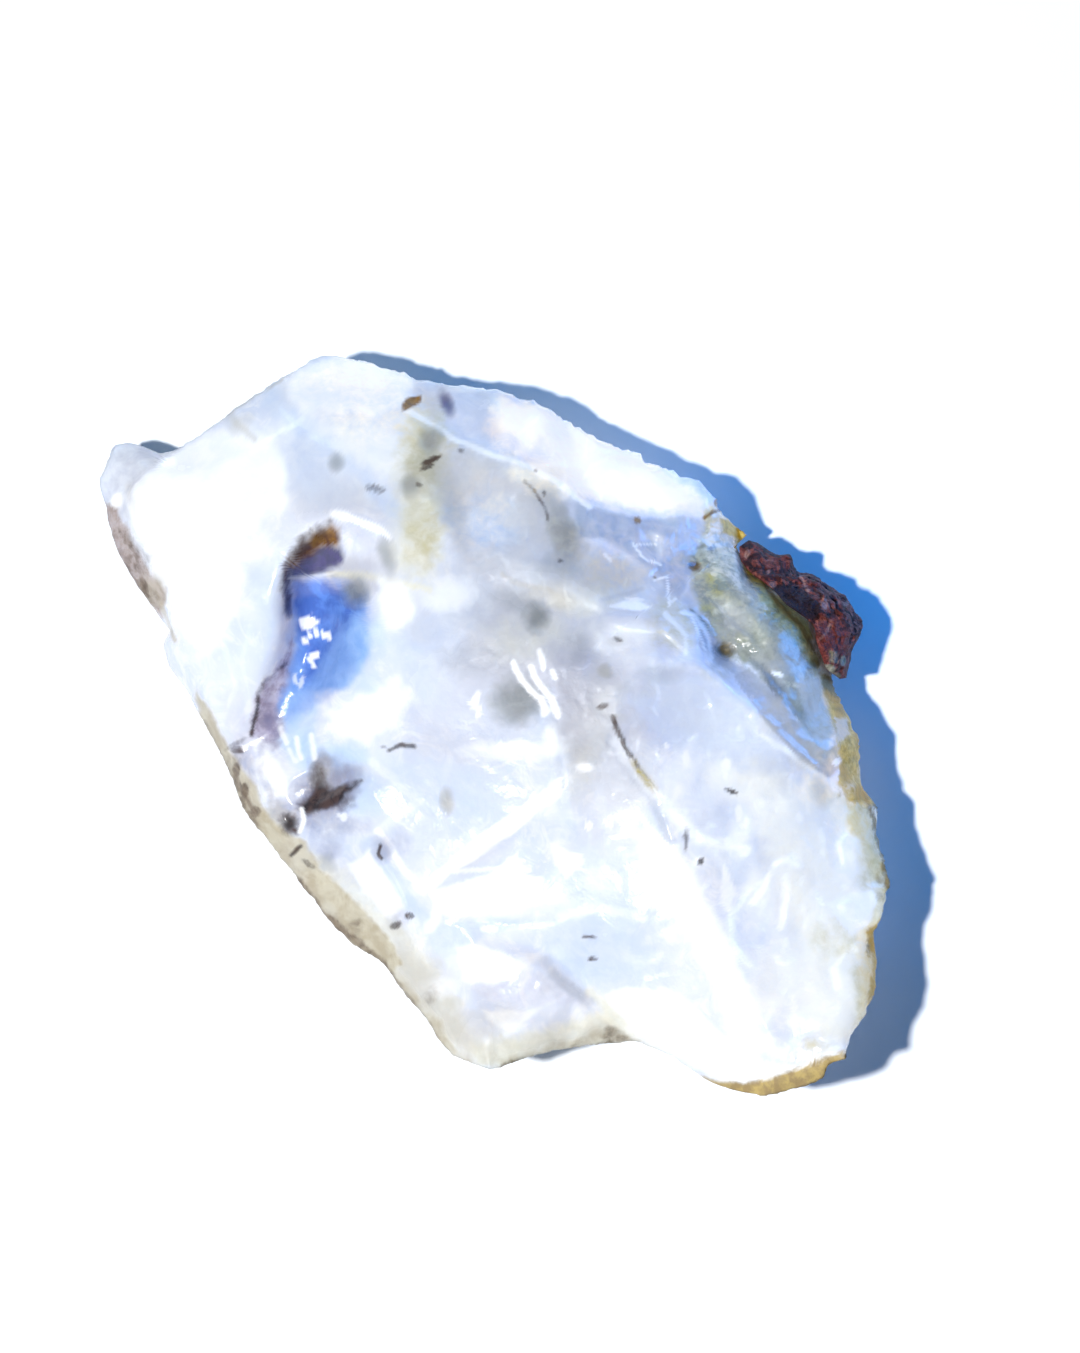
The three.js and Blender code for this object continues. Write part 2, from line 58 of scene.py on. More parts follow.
# the opal's outline, clockwise from the left lobe: across, up, height of the widest edge, in mm as seen
outline = np.array([
    # left lobe
    (-17.1, 5.6, 3.7), (-18.0, 6.9, 3.9), (-18.9, 8.45, 4.2), (-19.3, 9.5, 4.3), (-19.6, 10.95, 4.4),
    (-19.9, 11.8, 4.5), (-19.85, 12.25, 4.6), (-19.15, 13.95, 4.6), (-18.45, 14.1, 4.6),
    (-17.7, 13.9, 4.6), (-16.8, 13.5, 4.6),
    # top edge
    (-15.95, 13.75, 6.2), (-14.5, 14.65, 6.6), (-13.35, 15.5, 6.8), (-11.5, 16.8, 6.9),
    (-9.7, 18.05, 6.9), (-8.85, 18.5, 6.9), (-8.05, 18.6, 6.8), (-6.65, 18.35, 6.8),
    (-4.55, 17.7, 6.7), (-4.0, 17.35, 6.6), (-2.4, 17.2, 6.4), (0.3, 16.8, 6.4), (1.8, 16.35, 6.3),
    (2.7, 15.95, 5.9),
    # upper right edge
    (3.6, 15.35, 5.6), (5.45, 14.35, 5.6), (7.35, 13.55, 5.6), (7.7, 13.15, 5.4), (8.85, 12.9, 5.7),
    (10.1, 12.3, 6.8), (11.25, 11.45, 6.7), (11.35, 10.8, 5.9), (12.05, 10.1, 5.1), (12.85, 9.5, 5.0),
    # seat of the host rock
    (12.3, 8.95, 4.5), (12.9, 7.95, 4.3), (14.1, 7.0, 4.1), (15.7, 6.1, 4.0), (16.35, 5.3, 4.0),
    (16.75, 4.1, 4.0), (17.05, 3.1, 4.2), (17.05, 2.2, 4.6), (17.3, 1.4, 5.0),
    # right rim
    (17.65, 0.95, 5.5), (17.9, 0.25, 5.5), (18.5, -0.85, 6.0), (18.4, -2.6, 6.4), (18.6, -3.35, 6.2),
    (19.2, -4.15, 6.8), (19.3, -5.75, 7.1), (19.7, -7.1, 7.5), (19.9, -8.15, 8.3), (19.4, -9.85, 9.2),
    (19.0, -10.5, 9.2), (19.15, -11.55, 8.5), (19.1, -13.4, 9.4), (18.65, -14.5, 10.6),
    # bottom lobe
    (17.8, -15.55, 11.1), (17.45, -16.65, 11.7), (16.55, -17.1, 11.6), (16.35, -17.65, 11.2),
    (15.7, -18.05, 10.7), (14.65, -18.3, 10.1), (13.5, -18.6, 9.3), (11.75, -18.25, 7.9),
    (10.5, -17.75, 7.0), (8.9, -16.65, 6.6), (7.2, -15.95, 6.4),
    # lower left edge
    (5.75, -16.05, 6.4), (3.65, -16.25, 7.0), (2.05, -16.6, 7.8), (0.9, -16.95, 8.7),
    (-0.15, -17.3, 9.4), (-0.95, -17.0, 8.9), (-2.0, -16.6, 8.0), (-2.8, -15.8, 7.2),
    (-3.4, -14.75, 6.6), (-4.35, -13.75, 6.0), (-5.65, -11.95, 5.3), (-7.1, -11.1, 4.9),
    (-8.3, -9.95, 4.6), (-9.85, -7.9, 4.3), (-11.9, -5.35, 4.0), (-12.6, -4.35, 3.9),
    (-13.6, -2.0, 3.7), (-15.45, 1.5, 3.6), (-16.45, 2.85, 3.5), (-16.7, 3.95, 3.5),
    (-16.35, 4.6, 3.5),
])

# corners of the fracture faces: across, up, height above the table, in mm as seen
corners = {
    "lowerLobe": [
        (-18.9, 12.9, 5.6), (-17.7, 13.3, 6.0), (-18.5, 11.8, 5.9), (-18.65, 10.6, 5.8),
        (-18.3, 9.1, 5.5), (-17.4, 7.1, 5.1)],
    "chipEdge": [
        (-16.1, 13.3, 7.2), (-17.2, 12.6, 7.6), (-18.0, 11.6, 7.8), (-18.1, 10.6, 7.8),
        (-17.7, 9.3, 7.6), (-16.8, 7.4, 7.1), (-16.1, 6.1, 6.7), (-15.9, 4.4, 6.4), (-15.3, 2.9, 6.2),
        (-14.3, 1.1, 6.2), (-13.3, -0.9, 6.2)],
    "leftMass": [
        (-14.7, 12.1, 9.2), (-15.2, 9.1, 9.4), (-12.2, 13.6, 9.7), (-13.9, 6.1, 9.4),
        (-11.7, 9.6, 11.2), (-12.2, 6.1, 10.8), (-12.9, 3.1, 9.0), (-9.7, 12.6, 11.3)],
    "topLens": [
        (-12.7, 15.1, 8.2), (-11.2, 16.3, 8.1), (-9.7, 16.9, 8.0), (-7.95, 17.7, 7.6),
        (-5.4, 17.3, 7.3), (-9.9, 15.7, 9.6), (-8.2, 15.45, 10.0), (-6.2, 15.3, 10.0),
        (-4.55, 16.1, 8.8), (-7.35, 13.6, 11.0)],
    "hollowLip": [
        (-9.7, 8.85, 11.9), (-10.4, 7.35, 11.9), (-10.65, 5.85, 11.4), (-10.4, 4.6, 10.6),
        (-11.0, 2.85, 9.6), (-11.6, 2.2, 9.0), (-12.1, 0.3, 7.6), (-8.3, 9.85, 12.2), (-7.7, 9.1, 12.1)],
    "hollowFloor": [
        (-9.1, 8.4, 10.2), (-9.8, 7.1, 9.4), (-10.15, 5.7, 8.8), (-9.9, 4.4, 8.0), (-10.5, 2.9, 7.4),
        (-11.2, 1.5, 6.8), (-11.4, -0.4, 6.1), (-8.9, 7.2, 8.9), (-9.2, 5.2, 7.7), (-9.3, 3.2, 7.1),
        (-10.0, 1.2, 6.6), (-8.2, 4.4, 8.6), (-8.9, 1.2, 7.6), (-10.0, -0.8, 6.6)],
    "hollowFarSide": [
        (-6.1, 7.25, 12.6), (-5.75, 4.65, 12.5), (-6.1, 2.9, 11.7), (-7.5, 1.6, 10.2),
        (-8.4, -0.4, 8.6)],
    "crown": [
        (-5.15, 9.1, 12.8), (-3.2, 12.6, 11.3), (-2.2, 9.1, 13.0), (-3.2, 6.1, 13.8), (-2.7, 2.1, 14.0),
        (0.25, 7.95, 13.6), (0.3, 4.1, 14.8), (2.95, 3.1, 15.6), (1.3, 1.1, 15.0), (5.2, 5.8, 14.3),
        (8.05, 5.3, 13.6), (1.0, 10.2, 12.4), (3.4, 8.9, 12.9)],
    "bevelRidge": [
        (-4.45, 15.3, 9.8), (-3.2, 14.5, 10.2), (-1.9, 14.05, 10.5), (1.4, 12.9, 10.9),
        (3.55, 11.9, 11.2), (4.95, 10.55, 11.3), (7.15, 10.05, 10.3), (9.65, 10.3, 8.9),
        (11.1, 10.5, 7.8)],
    "bevelFoot": [
        (-3.7, 15.7, 9.0), (-1.6, 14.6, 9.5), (1.7, 13.4, 9.6), (4.0, 12.3, 9.8), (5.5, 11.0, 9.6),
        (7.3, 10.7, 9.0), (9.6, 10.9, 8.2)],
    "upperRightChips": [
        (-2.2, 16.5, 8.4), (0.3, 16.1, 8.6), (2.55, 15.2, 8.6), (5.3, 13.7, 8.5), (7.8, 12.5, 8.4),
        (10.3, 11.5, 7.8), (4.8, 13.0, 9.1), (0.6, 15.2, 9.1)],
    "paleLedge": [
        (0.2, 8.0, 13.6), (0.9, 7.05, 14.1), (2.0, 6.8, 14.4), (3.9, 6.3, 14.5), (0.4, 7.2, 13.4),
        (1.5, 6.3, 13.7), (3.4, 5.9, 13.9)],
    "slateSteps": [
        (8.4, 9.15, 10.2), (7.15, 8.8, 11.0), (7.6, 8.0, 11.4), (8.3, 7.3, 11.2), (8.0, 9.0, 9.8),
        (5.45, 6.3, 13.6), (5.5, 5.4, 14.2), (8.0, 5.75, 12.6), (5.3, 8.85, 12.2), (9.8, 8.1, 9.1),
        (12.05, 8.1, 8.1)],
    "blueSteps": [
        (9.3, 5.5, 12.4), (10.1, 4.8, 12.2), (10.6, 3.6, 12.2), (11.7, 2.7, 11.6), (9.8, 5.9, 10.9),
        (10.7, 5.0, 10.5), (11.3, 3.7, 10.4), (12.2, 3.1, 10.2)],
    "greenHollow": [
        (12.3, 6.4, 10.4), (13.9, 4.3, 10.6), (15.2, 1.7, 10.9), (17.0, -0.9, 10.2), (13.5, 1.3, 11.9),
        (15.0, -0.6, 11.6), (16.6, -2.2, 10.6)],
    "hostSeat": [
        (11.9, 8.75, 6.8), (13.8, 6.6, 8.2), (15.55, 5.0, 8.6), (16.1, 3.2, 8.6), (16.7, 1.95, 7.0)],
    "lensTop": [
        (6.25, 1.55, 15.4), (7.1, 2.4, 15.2), (8.15, 3.05, 14.9), (10.1, 2.9, 14.2),
        (11.25, 2.1, 13.7), (12.3, 1.1, 13.3), (13.5, 0.1, 12.8), (14.7, -1.1, 12.1),
        (16.1, -2.4, 11.1), (17.8, -3.4, 9.6)],
    "lensFoot": [
        (6.0, -0.1, 15.2), (7.1, -2.25, 14.6), (8.2, -3.65, 14.1), (9.5, -4.9, 13.7),
        (10.8, -5.9, 13.2), (12.75, -6.15, 12.6), (14.8, -3.9, 11.8), (7.5, -3.3, 13.7),
        (9.3, -5.5, 13.0), (10.9, -6.5, 12.5)],
    "longRidge": [
        (8.9, -6.05, 13.4), (9.9, -8.5, 13.1), (11.3, -10.7, 12.7), (12.35, -12.9, 12.4),
        (13.4, -14.85, 12.1), (14.2, -16.7, 11.6)],
    "lowerTrough": [
        (5.3, -2.9, 13.4), (6.3, -6.4, 12.2), (7.8, -10.4, 11.5), (9.8, -13.9, 10.8),
        (11.05, -16.9, 9.0), (7.3, -14.2, 9.4), (8.2, -6.6, 12.5), (9.2, -9.2, 12.0)],
    "centreRidge": [
        (3.2, 0.1, 15.2), (3.4, -1.6, 14.6), (3.55, -3.05, 14.0), (4.0, -5.05, 13.0),
        (5.2, -6.8, 11.6)],
    "leftFlank": [
        (2.4, -0.2, 14.4), (2.2, -2.4, 13.2), (-1.7, -0.9, 13.0), (-4.7, -0.4, 12.0),
        (-3.2, -5.4, 10.2), (-6.0, -6.05, 8.6), (-7.2, -3.9, 9.0), (-8.7, -3.15, 7.7),
        (-10.2, -2.4, 7.2), (-11.3, -3.3, 6.5), (-6.6, -6.9, 7.6), (-4.4, -9.6, 8.1)],
    "whiteWedge": [
        (3.2, -2.8, 13.4), (0.9, -4.9, 11.9), (-1.9, -7.3, 10.3), (-3.6, -8.2, 9.4),
        (1.3, -5.6, 10.9), (-1.5, -8.0, 9.4), (2.45, -9.25, 9.9), (-0.4, -10.5, 8.9),
        (2.2, -7.0, 10.6)],
    "wallTop": [
        (-12.6, -2.1, 5.9), (-11.6, -4.2, 5.9), (-9.7, -6.6, 6.0), (-7.7, -9.1, 6.3),
        (-4.7, -12.0, 7.2), (-3.1, -13.8, 8.2), (-1.9, -15.3, 9.4), (-0.3, -16.0, 10.0),
        (2.1, -15.3, 9.5), (4.8, -15.1, 7.9)],
    "lobeSeam": [
        (-0.9, -11.0, 9.1), (1.6, -11.7, 9.3), (2.9, -12.5, 9.1), (3.9, -13.6, 8.6), (5.5, -14.8, 7.8),
        (1.9, -11.1, 8.5), (3.3, -11.8, 8.2), (4.6, -13.0, 7.8), (6.0, -14.3, 7.3)],
    "lobeFaces": [
        (-1.2, -13.1, 9.3), (1.2, -13.8, 9.6), (-4.7, -9.9, 8.2)],
    "rightFacets": [
        (18.0, -4.3, 8.8), (16.8, -6.4, 10.2), (18.6, -6.5, 9.0), (16.4, -9.2, 10.6),
        (17.9, -8.3, 9.7), (18.8, -9.1, 9.4), (18.1, -10.7, 10.2), (18.2, -13.1, 11.0),
        (16.0, -12.9, 11.4), (17.0, -15.4, 12.2), (15.3, -16.9, 11.8), (13.8, -8.9, 11.8),
        (14.0, -11.9, 11.4), (14.5, -7.6, 11.7), (14.8, -14.4, 11.7), (13.4, -7.6, 12.0),
        (12.0, -9.2, 12.2), (14.4, -9.5, 11.5)],
}

opalShape = {
    "crestDrawn": 15.6,           # height of the crest in the lists above
    "crest": 12.4,                # its real height, in mm
    "cell": 0.06,                 # mm between the places of the height map
    "reach": (-20.6, 20.6, -19.4, 19.4),
    "cellsAcross": 286,           # quads across the upper sheet
    "faceDish": 0.12,             # depth in the middle of each plain face
    "worn": 0.38,                 # how far plain faces are rounded into each other, in mm
    "crisp": 0.1,                 # the same beside the named ridges
    "crispRim": (0.3, 1.1),       # crisp up to the first distance from the outline, worn from the second
    "ridgeReach": 0.7,            # how far from a named ridge the crisp shape holds
    "wander": (0.16, 1.6),        # how far flake lines wander, and over what length
    "flakeFade": 0.22,            # share of a flake line over which its step rises and ends
    "flakeEdge": 0.09,            # mm over which the ground drops at the line
    "rimShare": 0.996,            # share of the radius from which the outline's own height takes over
    "rimChips": (0.17, 0.2),      # mm of chipping: all round, and more at the upper right
    "rimFalloff": 24,             # power by which the chipping dies away inwards
    "chipWobble": 0.12,
    "wallGrain": (0.9, 0.012),    # size in mm and share of the radius
    "underRings": [(1.0, 1.0), (0.985, 0.62), (0.94, 0.3), (0.87, 0.1), (0.79, 0.0)],
    "ringSteps": 3,
    "liftedLobes": [(2.53, 0.5, 0.12), (-1.42, 0.6, 0.26)],    # direction, how much, how wide
    # fine breaks of the upper sheet: where, height, size, tilt of its facets or None for soft lumps, seed
    "fineBreaks": [
        ("everywhere", 0.015, 0.9, 1.0, 71), ("rightSide", 0.085, 0.9, 1.0, 71),
        ("everywhere", 0.015, 0.45, None, 73), ("rightSide", 0.07, 0.45, 1.0, 75),
        ("slate", 0.1, 0.8, 1.2, 81), ("skins", 0.16, 0.5, None, 77), ("mossy", 0.16, 0.6, 1.2, 79),
    ],
}

# ridges and edges that stay crisp
ridges = {
    "bevel": [(-4.5, 15.4), (-3.2, 14.5), (-1.9, 14.05), (1.4, 12.9), (3.55, 11.9), (4.95, 10.55),
              (7.15, 10.05), (9.65, 10.3), (11.2, 10.4)],
    "chip": [(-16.1, 13.3), (-17.2, 12.6), (-18.0, 11.6), (-18.1, 10.6), (-17.7, 9.3), (-16.8, 7.4),
             (-16.1, 6.1)],
    "slate": [(5.45, 6.3), (5.5, 5.4), (8.05, 5.3)],
    "flake": [(8.4, 9.15), (7.15, 8.8), (7.6, 8.0), (8.3, 7.3)],
    "blue": [(9.3, 5.5), (10.1, 4.8), (10.6, 3.6), (11.7, 2.7)],
    "lensTop": [(6.0, -0.1), (6.25, 1.55), (7.1, 2.4), (8.15, 3.05), (10.1, 2.9), (11.25, 2.1),
                (13.5, 0.1), (16.1, -2.4)],
    "lensFoot": [(6.0, -0.1), (7.1, -2.25), (8.2, -3.65), (9.5, -4.9), (10.8, -5.9), (12.75, -6.15)],
    "long": [(8.2, -3.65), (8.9, -6.05), (9.9, -8.5), (11.3, -10.7), (12.35, -12.9), (13.4, -14.85),
             (14.2, -16.7)],
    "centre": [(2.95, 3.1), (3.2, 0.1), (3.4, -1.6), (3.55, -3.05), (4.0, -5.05)],
    "wedge": [(3.2, -2.8), (0.9, -4.9), (-1.9, -7.3), (-3.6, -8.2)],
    "seam": [(-0.9, -11.0), (1.6, -11.7), (2.9, -12.5), (3.9, -13.6), (5.5, -14.8), (7.2, -15.9)],
    "rim": [(16.4, -9.2), (17.9, -8.3)],
}

# flake steps: the ground right of each line, as it runs, drops at the line and comes back over reach
flakeSteps = {
    "hollowGlint": ([(-7.85, 10.25), (-7.0, 10.05), (-5.75, 9.55), (-5.15, 9.1)], 0.22, 0.9),
    "lensEdge": ([(13.0, -6.2), (10.8, -5.95), (9.5, -4.95), (8.2, -3.65), (7.1, -2.25), (6.0, -0.1)],
                 0.18, 0.8),
    "midFlake": ([(2.0, 9.0), (0.6, 9.3), (-0.8, 10.6), (-1.2, 12.2)], 0.15, 1.4),
    "upperFlake": ([(5.3, 5.0), (6.6, 4.6), (8.3, 4.5), (9.3, 3.6), (10.0, 2.9)], 0.25, 1.2),
    "glintA": ([(2.55, 1.2), (2.0, 2.0), (1.55, 2.7)], 0.16, 0.6),
    "glintB": ([(3.1, 0.9), (2.7, 1.5), (2.3, 2.1)], 0.14, 0.6),
    "glintC": ([(-0.1, 1.0), (-0.35, 1.6)], 0.12, 0.5),
    "glintD": ([(5.5, -7.0), (4.6, -2.3), (4.4, -1.0)], 0.12, 0.7),
    "footWedge": ([(4.2, -6.4), (2.6, -8.2), (0.2, -9.3), (-2.6, -9.4)], 0.3, 1.2),
    "footLine": ([(5.8, -8.6), (3.0, -10.0), (0.0, -10.2), (-3.0, -9.9)], 0.22, 1.0),
    "stripA": ([(10.3, -6.6), (9.6, -7.6), (9.3, -8.6)], 0.25, 0.9),
    "stripB": ([(13.6, -7.6), (12.6, -8.5), (11.7, -9.6), (11.9, -11.0), (13.1, -12.4)], 0.22, 0.9),
    "stripC": ([(14.6, -7.7), (14.5, -9.0), (14.3, -10.2)], 0.2, 0.7),
    "lobeA": ([(4.2, -13.4), (1.9, -14.2), (-1.0, -13.8)], 0.2, 0.9),
    "lobeB": ([(2.2, -14.6), (1.0, -15.4), (-0.6, -14.6)], 0.15, 0.7),
    "leftA": ([(-7.2, -8.6), (-5.2, -8.2), (-4.2, -9.4)], 0.18, 0.8),
    "leftB": ([(-6.1, -6.0), (-4.9, -7.6), (-4.1, -9.4)], 0.22, 0.8),
    "massA": ([(-13.6, -0.2), (-12.9, 2.0), (-13.8, 4.3), (-14.9, 5.6)], 0.15, 1.4),
    "massB": ([(-12.1, 0.6), (-12.6, 3.2), (-12.0, 5.4)], 0.14, 1.2),
    "topA": ([(-12.6, 13.4), (-10.4, 14.6), (-9.0, 15.4)], 0.18, 1.0),
    "topB": ([(-7.3, 13.4), (-9.2, 14.2), (-11.4, 16.2)], 0.2, 1.0),
    "blueA": ([(12.2, 4.9), (11.0, 5.9), (9.9, 6.6)], 0.25, 1.0),
    "blueB": ([(13.6, 3.0), (12.8, 4.3), (11.6, 5.2)], 0.2, 0.9),
    "wedgeA": ([(16.6, -1.6), (15.1, 0.2), (13.6, 2.2), (12.4, 3.4)], 0.3, 1.2),
    "wedgeB": ([(16.4, -2.6), (14.2, -0.4), (12.3, 1.4)], 0.2, 0.8),
    "slateA": ([(10.9, 9.3), (9.3, 9.6), (8.1, 10.0), (6.6, 9.6)], 0.25, 1.1),
    "slateB": ([(9.5, 7.6), (8.0, 8.2), (6.4, 8.3), (5.2, 8.1)], 0.25, 1.0),
    "slateC": ([(11.4, 6.4), (10.4, 7.4), (9.4, 8.6)], 0.2, 0.8),
    "chipA": ([(2.4, 15.3), (1.2, 14.2), (-0.4, 14.0)], 0.2, 0.8),
    "chipB": ([(6.2, 13.3), (4.9, 12.7), (4.3, 11.9)], 0.2, 0.9),
    "chipC": ([(9.6, 11.9), (8.2, 11.5), (7.0, 10.7)], 0.2, 0.8),
    "rimA": ([(18.0, -5.0), (17.2, -5.9), (17.4, -7.4)], 0.2, 0.7),
    "rimB": ([(17.6, -11.0), (16.8, -12.2), (17.2, -13.6)], 0.2, 0.8),
    "rimC": ([(16.3, -15.2), (15.0, -15.6), (14.2, -16.6)], 0.2, 0.8),
    "arc": ([(15.2, -6.9), (14.5, -6.6), (13.9, -6.9), (13.6, -7.5)], 0.2, 0.6),
}

# bowls left by small flakes and vugs: centre, half lengths, turn in degrees, depth
bowls = {
    "hollowHeart": ((-9.0, 4.6), (3.4, 1.6), 80, 0.7),
    "brownStar": ((-8.8, -3.2), (1.6, 0.9), 20, 0.5),
    "crownDish": ((-0.6, 10.9), (3.0, 1.9), -30, 0.5),
    "lensDish": ((11.0, -1.4), (4.2, 2.4), -42, 0.4),
    "footDish": ((9.6, -13.0), (4.2, 2.2), -60, 0.5),
    "lobeDish": ((1.0, -13.6), (2.2, 1.3), -20, 0.4),
    "flankDish": ((-3.4, -3.2), (3.0, 2.2), -40, 0.5),
    "greenVug": ((11.5, 3.6), (0.9, 0.8), 0, 0.5),
    "chipDish": ((-14.6, 8.0), (4.2, 2.0), -65, 0.4),
    "vugA": ((11.45, 3.6), (0.35, 0.3), 0, 0.3),
    "vugB": ((10.05, 7.75), (0.22, 0.18), 0, 0.25),
    "rimHole": ((-10.0, -4.6), (0.45, 0.35), 30, 0.5),
    "nick": ((-4.0, 16.0), (0.5, 0.25), 40, 0.3),
}

# faint ripples round the point a flake was struck from: centre, wave, height, area's centre, area's half
ripples = {
    "lens": ((5.0, 2.5), 0.85, 0.012, (11.0, -1.4), (4.6, 2.6)),
    "trough": ((5.5, -1.5), 0.95, 0.015, (8.2, -11.0), (3.0, 5.0)),
    "flank": ((2.0, 2.0), 0.8, 0.012, (-3.0, -3.6), (4.4, 3.6)),
    "crown": ((-5.0, 15.0), 0.9, 0.012, (0.2, 10.8), (4.6, 2.6)),
    "mass": ((-9.0, 12.0), 1.1, 0.015, (-14.0, 8.5), (3.6, 4.6)),
    "right": ((11.0, -5.5), 0.8, 0.02, (15.4, -11.0), (2.6, 4.6)),
    "lobe": ((-3.0, -9.5), 0.7, 0.015, (1.2, -13.4), (3.4, 2.0)),
    "hollow": ((-9.2, 9.4), 0.55, 0.02, (-8.9, 3.5), (2.6, 5.0)),
}


noiseTables = {
    "lattice": (97, 89),              # rows and columns of random values before they repeat
    "latticeShift": (40.3, 40.7),
    "facets": 61,                     # rows and columns of the facets' seeds
    "facetShift": 50,
    "slants": (0.37, 0.29, 0.41),     # how far each flat noise of a solid noise is skewed
    "solidScale": 1.8,
}


def latticeNoise(u, v, size, seed):
    # random values on a square lattice, blended between its nodes by a smooth cubic
    rows, columns = noiseTables["lattice"]
    shiftU, shiftV = noiseTables["latticeShift"]
    table = np.random.default_rng(seed).uniform(-1, 1, (rows, columns))
    gu, gv = u / size + shiftU, v / size + shiftV
    iu, iv = np.floor(gu).astype(int), np.floor(gv).astype(int)
    fu, fv = gu - iu, gv - iv
    su, sv = fu * fu * (3 - 2 * fu), fv * fv * (3 - 2 * fv)

    def between(row):
        left, right = table[row % rows, iu % columns], table[row % rows, (iu + 1) % columns]
        return left * (1 - su) + right * su

    return between(iv) * (1 - sv) + between(iv + 1) * sv


def cloudNoise(u, v, size, seed, octaves=4):
    # lattice noise summed over octaves, each half the size and half the strength of the last
    total = sum(latticeNoise(u, v, size / 2 ** k, seed + k) / 2 ** k for k in range(octaves))
    return total / (2 - 2 ** (1 - octaves))


def solidNoise(p, size, seed, octaves=3):
    # three flat noises added up, one for each pair of axes and slanted along the third
    total = 0
    for k, slant in enumerate(noiseTables["slants"]):
        a, b, c = (p[..., (axis + k) % 3] for axis in range(3))
        total = total + cloudNoise(a + slant * c, b, size, seed + 20 * k, octaves)
    return total / noiseTables["solidScale"]


def brokenFacets(u, v, size, tilt, seed):
    # each place lies on the small tilted plane of the nearest seed of a jittered lattice
    rng = np.random.default_rng(seed)
    count, shift = noiseTables["facets"], noiseTables["facetShift"]
    jitterU, jitterV = rng.uniform(0, 1, (count, count)), rng.uniform(0, 1, (count, count))
    tiltU, tiltV = rng.uniform(-tilt, tilt, (count, count)), rng.uniform(-tilt, tilt, (count, count))
    gu, gv = u / size + shift, v / size + shift
    iu, iv = np.floor(gu).astype(int), np.floor(gv).astype(int)
    best = np.full(u.shape, np.inf)
    height = np.zeros(u.shape)
    for di in (-1, 0, 1):
        for dj in (-1, 0, 1):
            cu, cv = iu + di, iv + dj
            row, column = cv % count, cu % count
            du, dv = gu - cu - jitterU[row, column], gv - cv - jitterV[row, column]
            near = du * du + dv * dv
            plane = (du * tiltU[row, column] + dv * tiltV[row, column]) * size
            height = np.where(near < best, plane, height)
            best = np.minimum(near, best)
    return height


def smoothStep(low, high, value):
    # rises from 0 at low to 1 at high along a cubic
    t = np.clip((value - low) / (high - low), 0, 1)
    return t * t * (3 - 2 * t)


def lineField(line, u, v):
    # distance to a polyline, whether a place is right of it, and the share of the way along it
    line = np.asarray(line, float)
    steps = np.diff(line[:, :2], axis=0)
    lengths = np.hypot(steps[:, 0], steps[:, 1])
    total = lengths.sum()
    best = np.full(u.shape, np.inf)
    right = np.zeros(u.shape, bool)
    along = np.zeros(u.shape)
    run = 0.0
    for a, step, length in zip(line[:-1], steps, lengths):
        t = np.clip(((u - a[0]) * step[0] + (v - a[1]) * step[1]) / length ** 2, 0, 1)
        du, dv = u - a[0] - t * step[0], v - a[1] - t * step[1]
        away = np.hypot(du, dv)
        closer = away < best
        side = step[0] * (v - a[1]) - step[1] * (u - a[0]) < 0
        best = np.where(closer, away, best)
        right = np.where(closer, side, right)
        along = np.where(closer, (run + t * length) / total, along)
        run += length
    return best, right, along


def areaField(area, u, v):
    # signed distance to a closed outline: positive inside
    closed = list(area) + [area[0]]
    away = lineField(closed, u, v)[0]
    inside = np.zeros(u.shape, bool)
    for a, b in zip(closed[:-1], closed[1:]):
        if a[1] != b[1]:
            crossing = (b[0] - a[0]) * (v - a[1]) / (b[1] - a[1]) + a[0]
            inside ^= ((a[1] > v) != (b[1] > v)) & (u < crossing)
    return np.where(inside, away, -away)


def ovalField(centre, half, turn, u, v):
    # 1 - (distance / half length) squared, in the turned axes of an ellipse
    t = math.radians(turn)
    du, dv = u - centre[0], v - centre[1]
    a = (du * math.cos(t) + dv * math.sin(t)) / half[0]
    b = (dv * math.cos(t) - du * math.sin(t)) / half[1]
    return 1 - a * a - b * b


def blur(values, radius):
    # a bell-shaped blur of that radius, as a product with the map's spectrum
    rows, columns = values.shape
    fr = np.fft.fftfreq(rows, opalShape["cell"])[:, None]
    fc = np.fft.rfftfreq(columns, opalShape["cell"])[None, :]
    kept = np.exp(-2 * (math.pi * radius) ** 2 * (fr ** 2 + fc ** 2))
    return np.fft.irfft2(np.fft.rfft2(values) * kept, s=values.shape)


# the map of places over the stone, as seen
lowU, highU, lowV, highV = opalShape["reach"]
mapU, mapV = np.meshgrid(np.arange(lowU, highU, opalShape["cell"]),
                         np.arange(lowV, highV, opalShape["cell"]))


def sampleMap(values, u, v):
    # mixes the four nearest places of a map
    gu = np.clip((u - lowU) / opalShape["cell"], 0, values.shape[1] - 1.001)
    gv = np.clip((v - lowV) / opalShape["cell"], 0, values.shape[0] - 1.001)
    iu, iv = gu.astype(int), gv.astype(int)
    fu, fv = gu - iu, gv - iv
    top = values[iv + 1, iu] * (1 - fu) + values[iv + 1, iu + 1] * fu
    low = values[iv, iu] * (1 - fu) + values[iv, iu + 1] * fu
    return low * (1 - fv) + top * fv


def slicesAround(points, margin):
    # the part of the map within margin of some points
    points = np.asarray(points, float)[:, :2]
    corner = np.array([lowU, lowV])
    low = (points.min(0) - margin - corner) / opalShape["cell"]
    high = (points.max(0) + margin - corner) / opalShape["cell"]
    columns, rows = (slice(max(0, int(a)), max(0, int(b) + 2)) for a, b in zip(low, high))
    return rows, columns


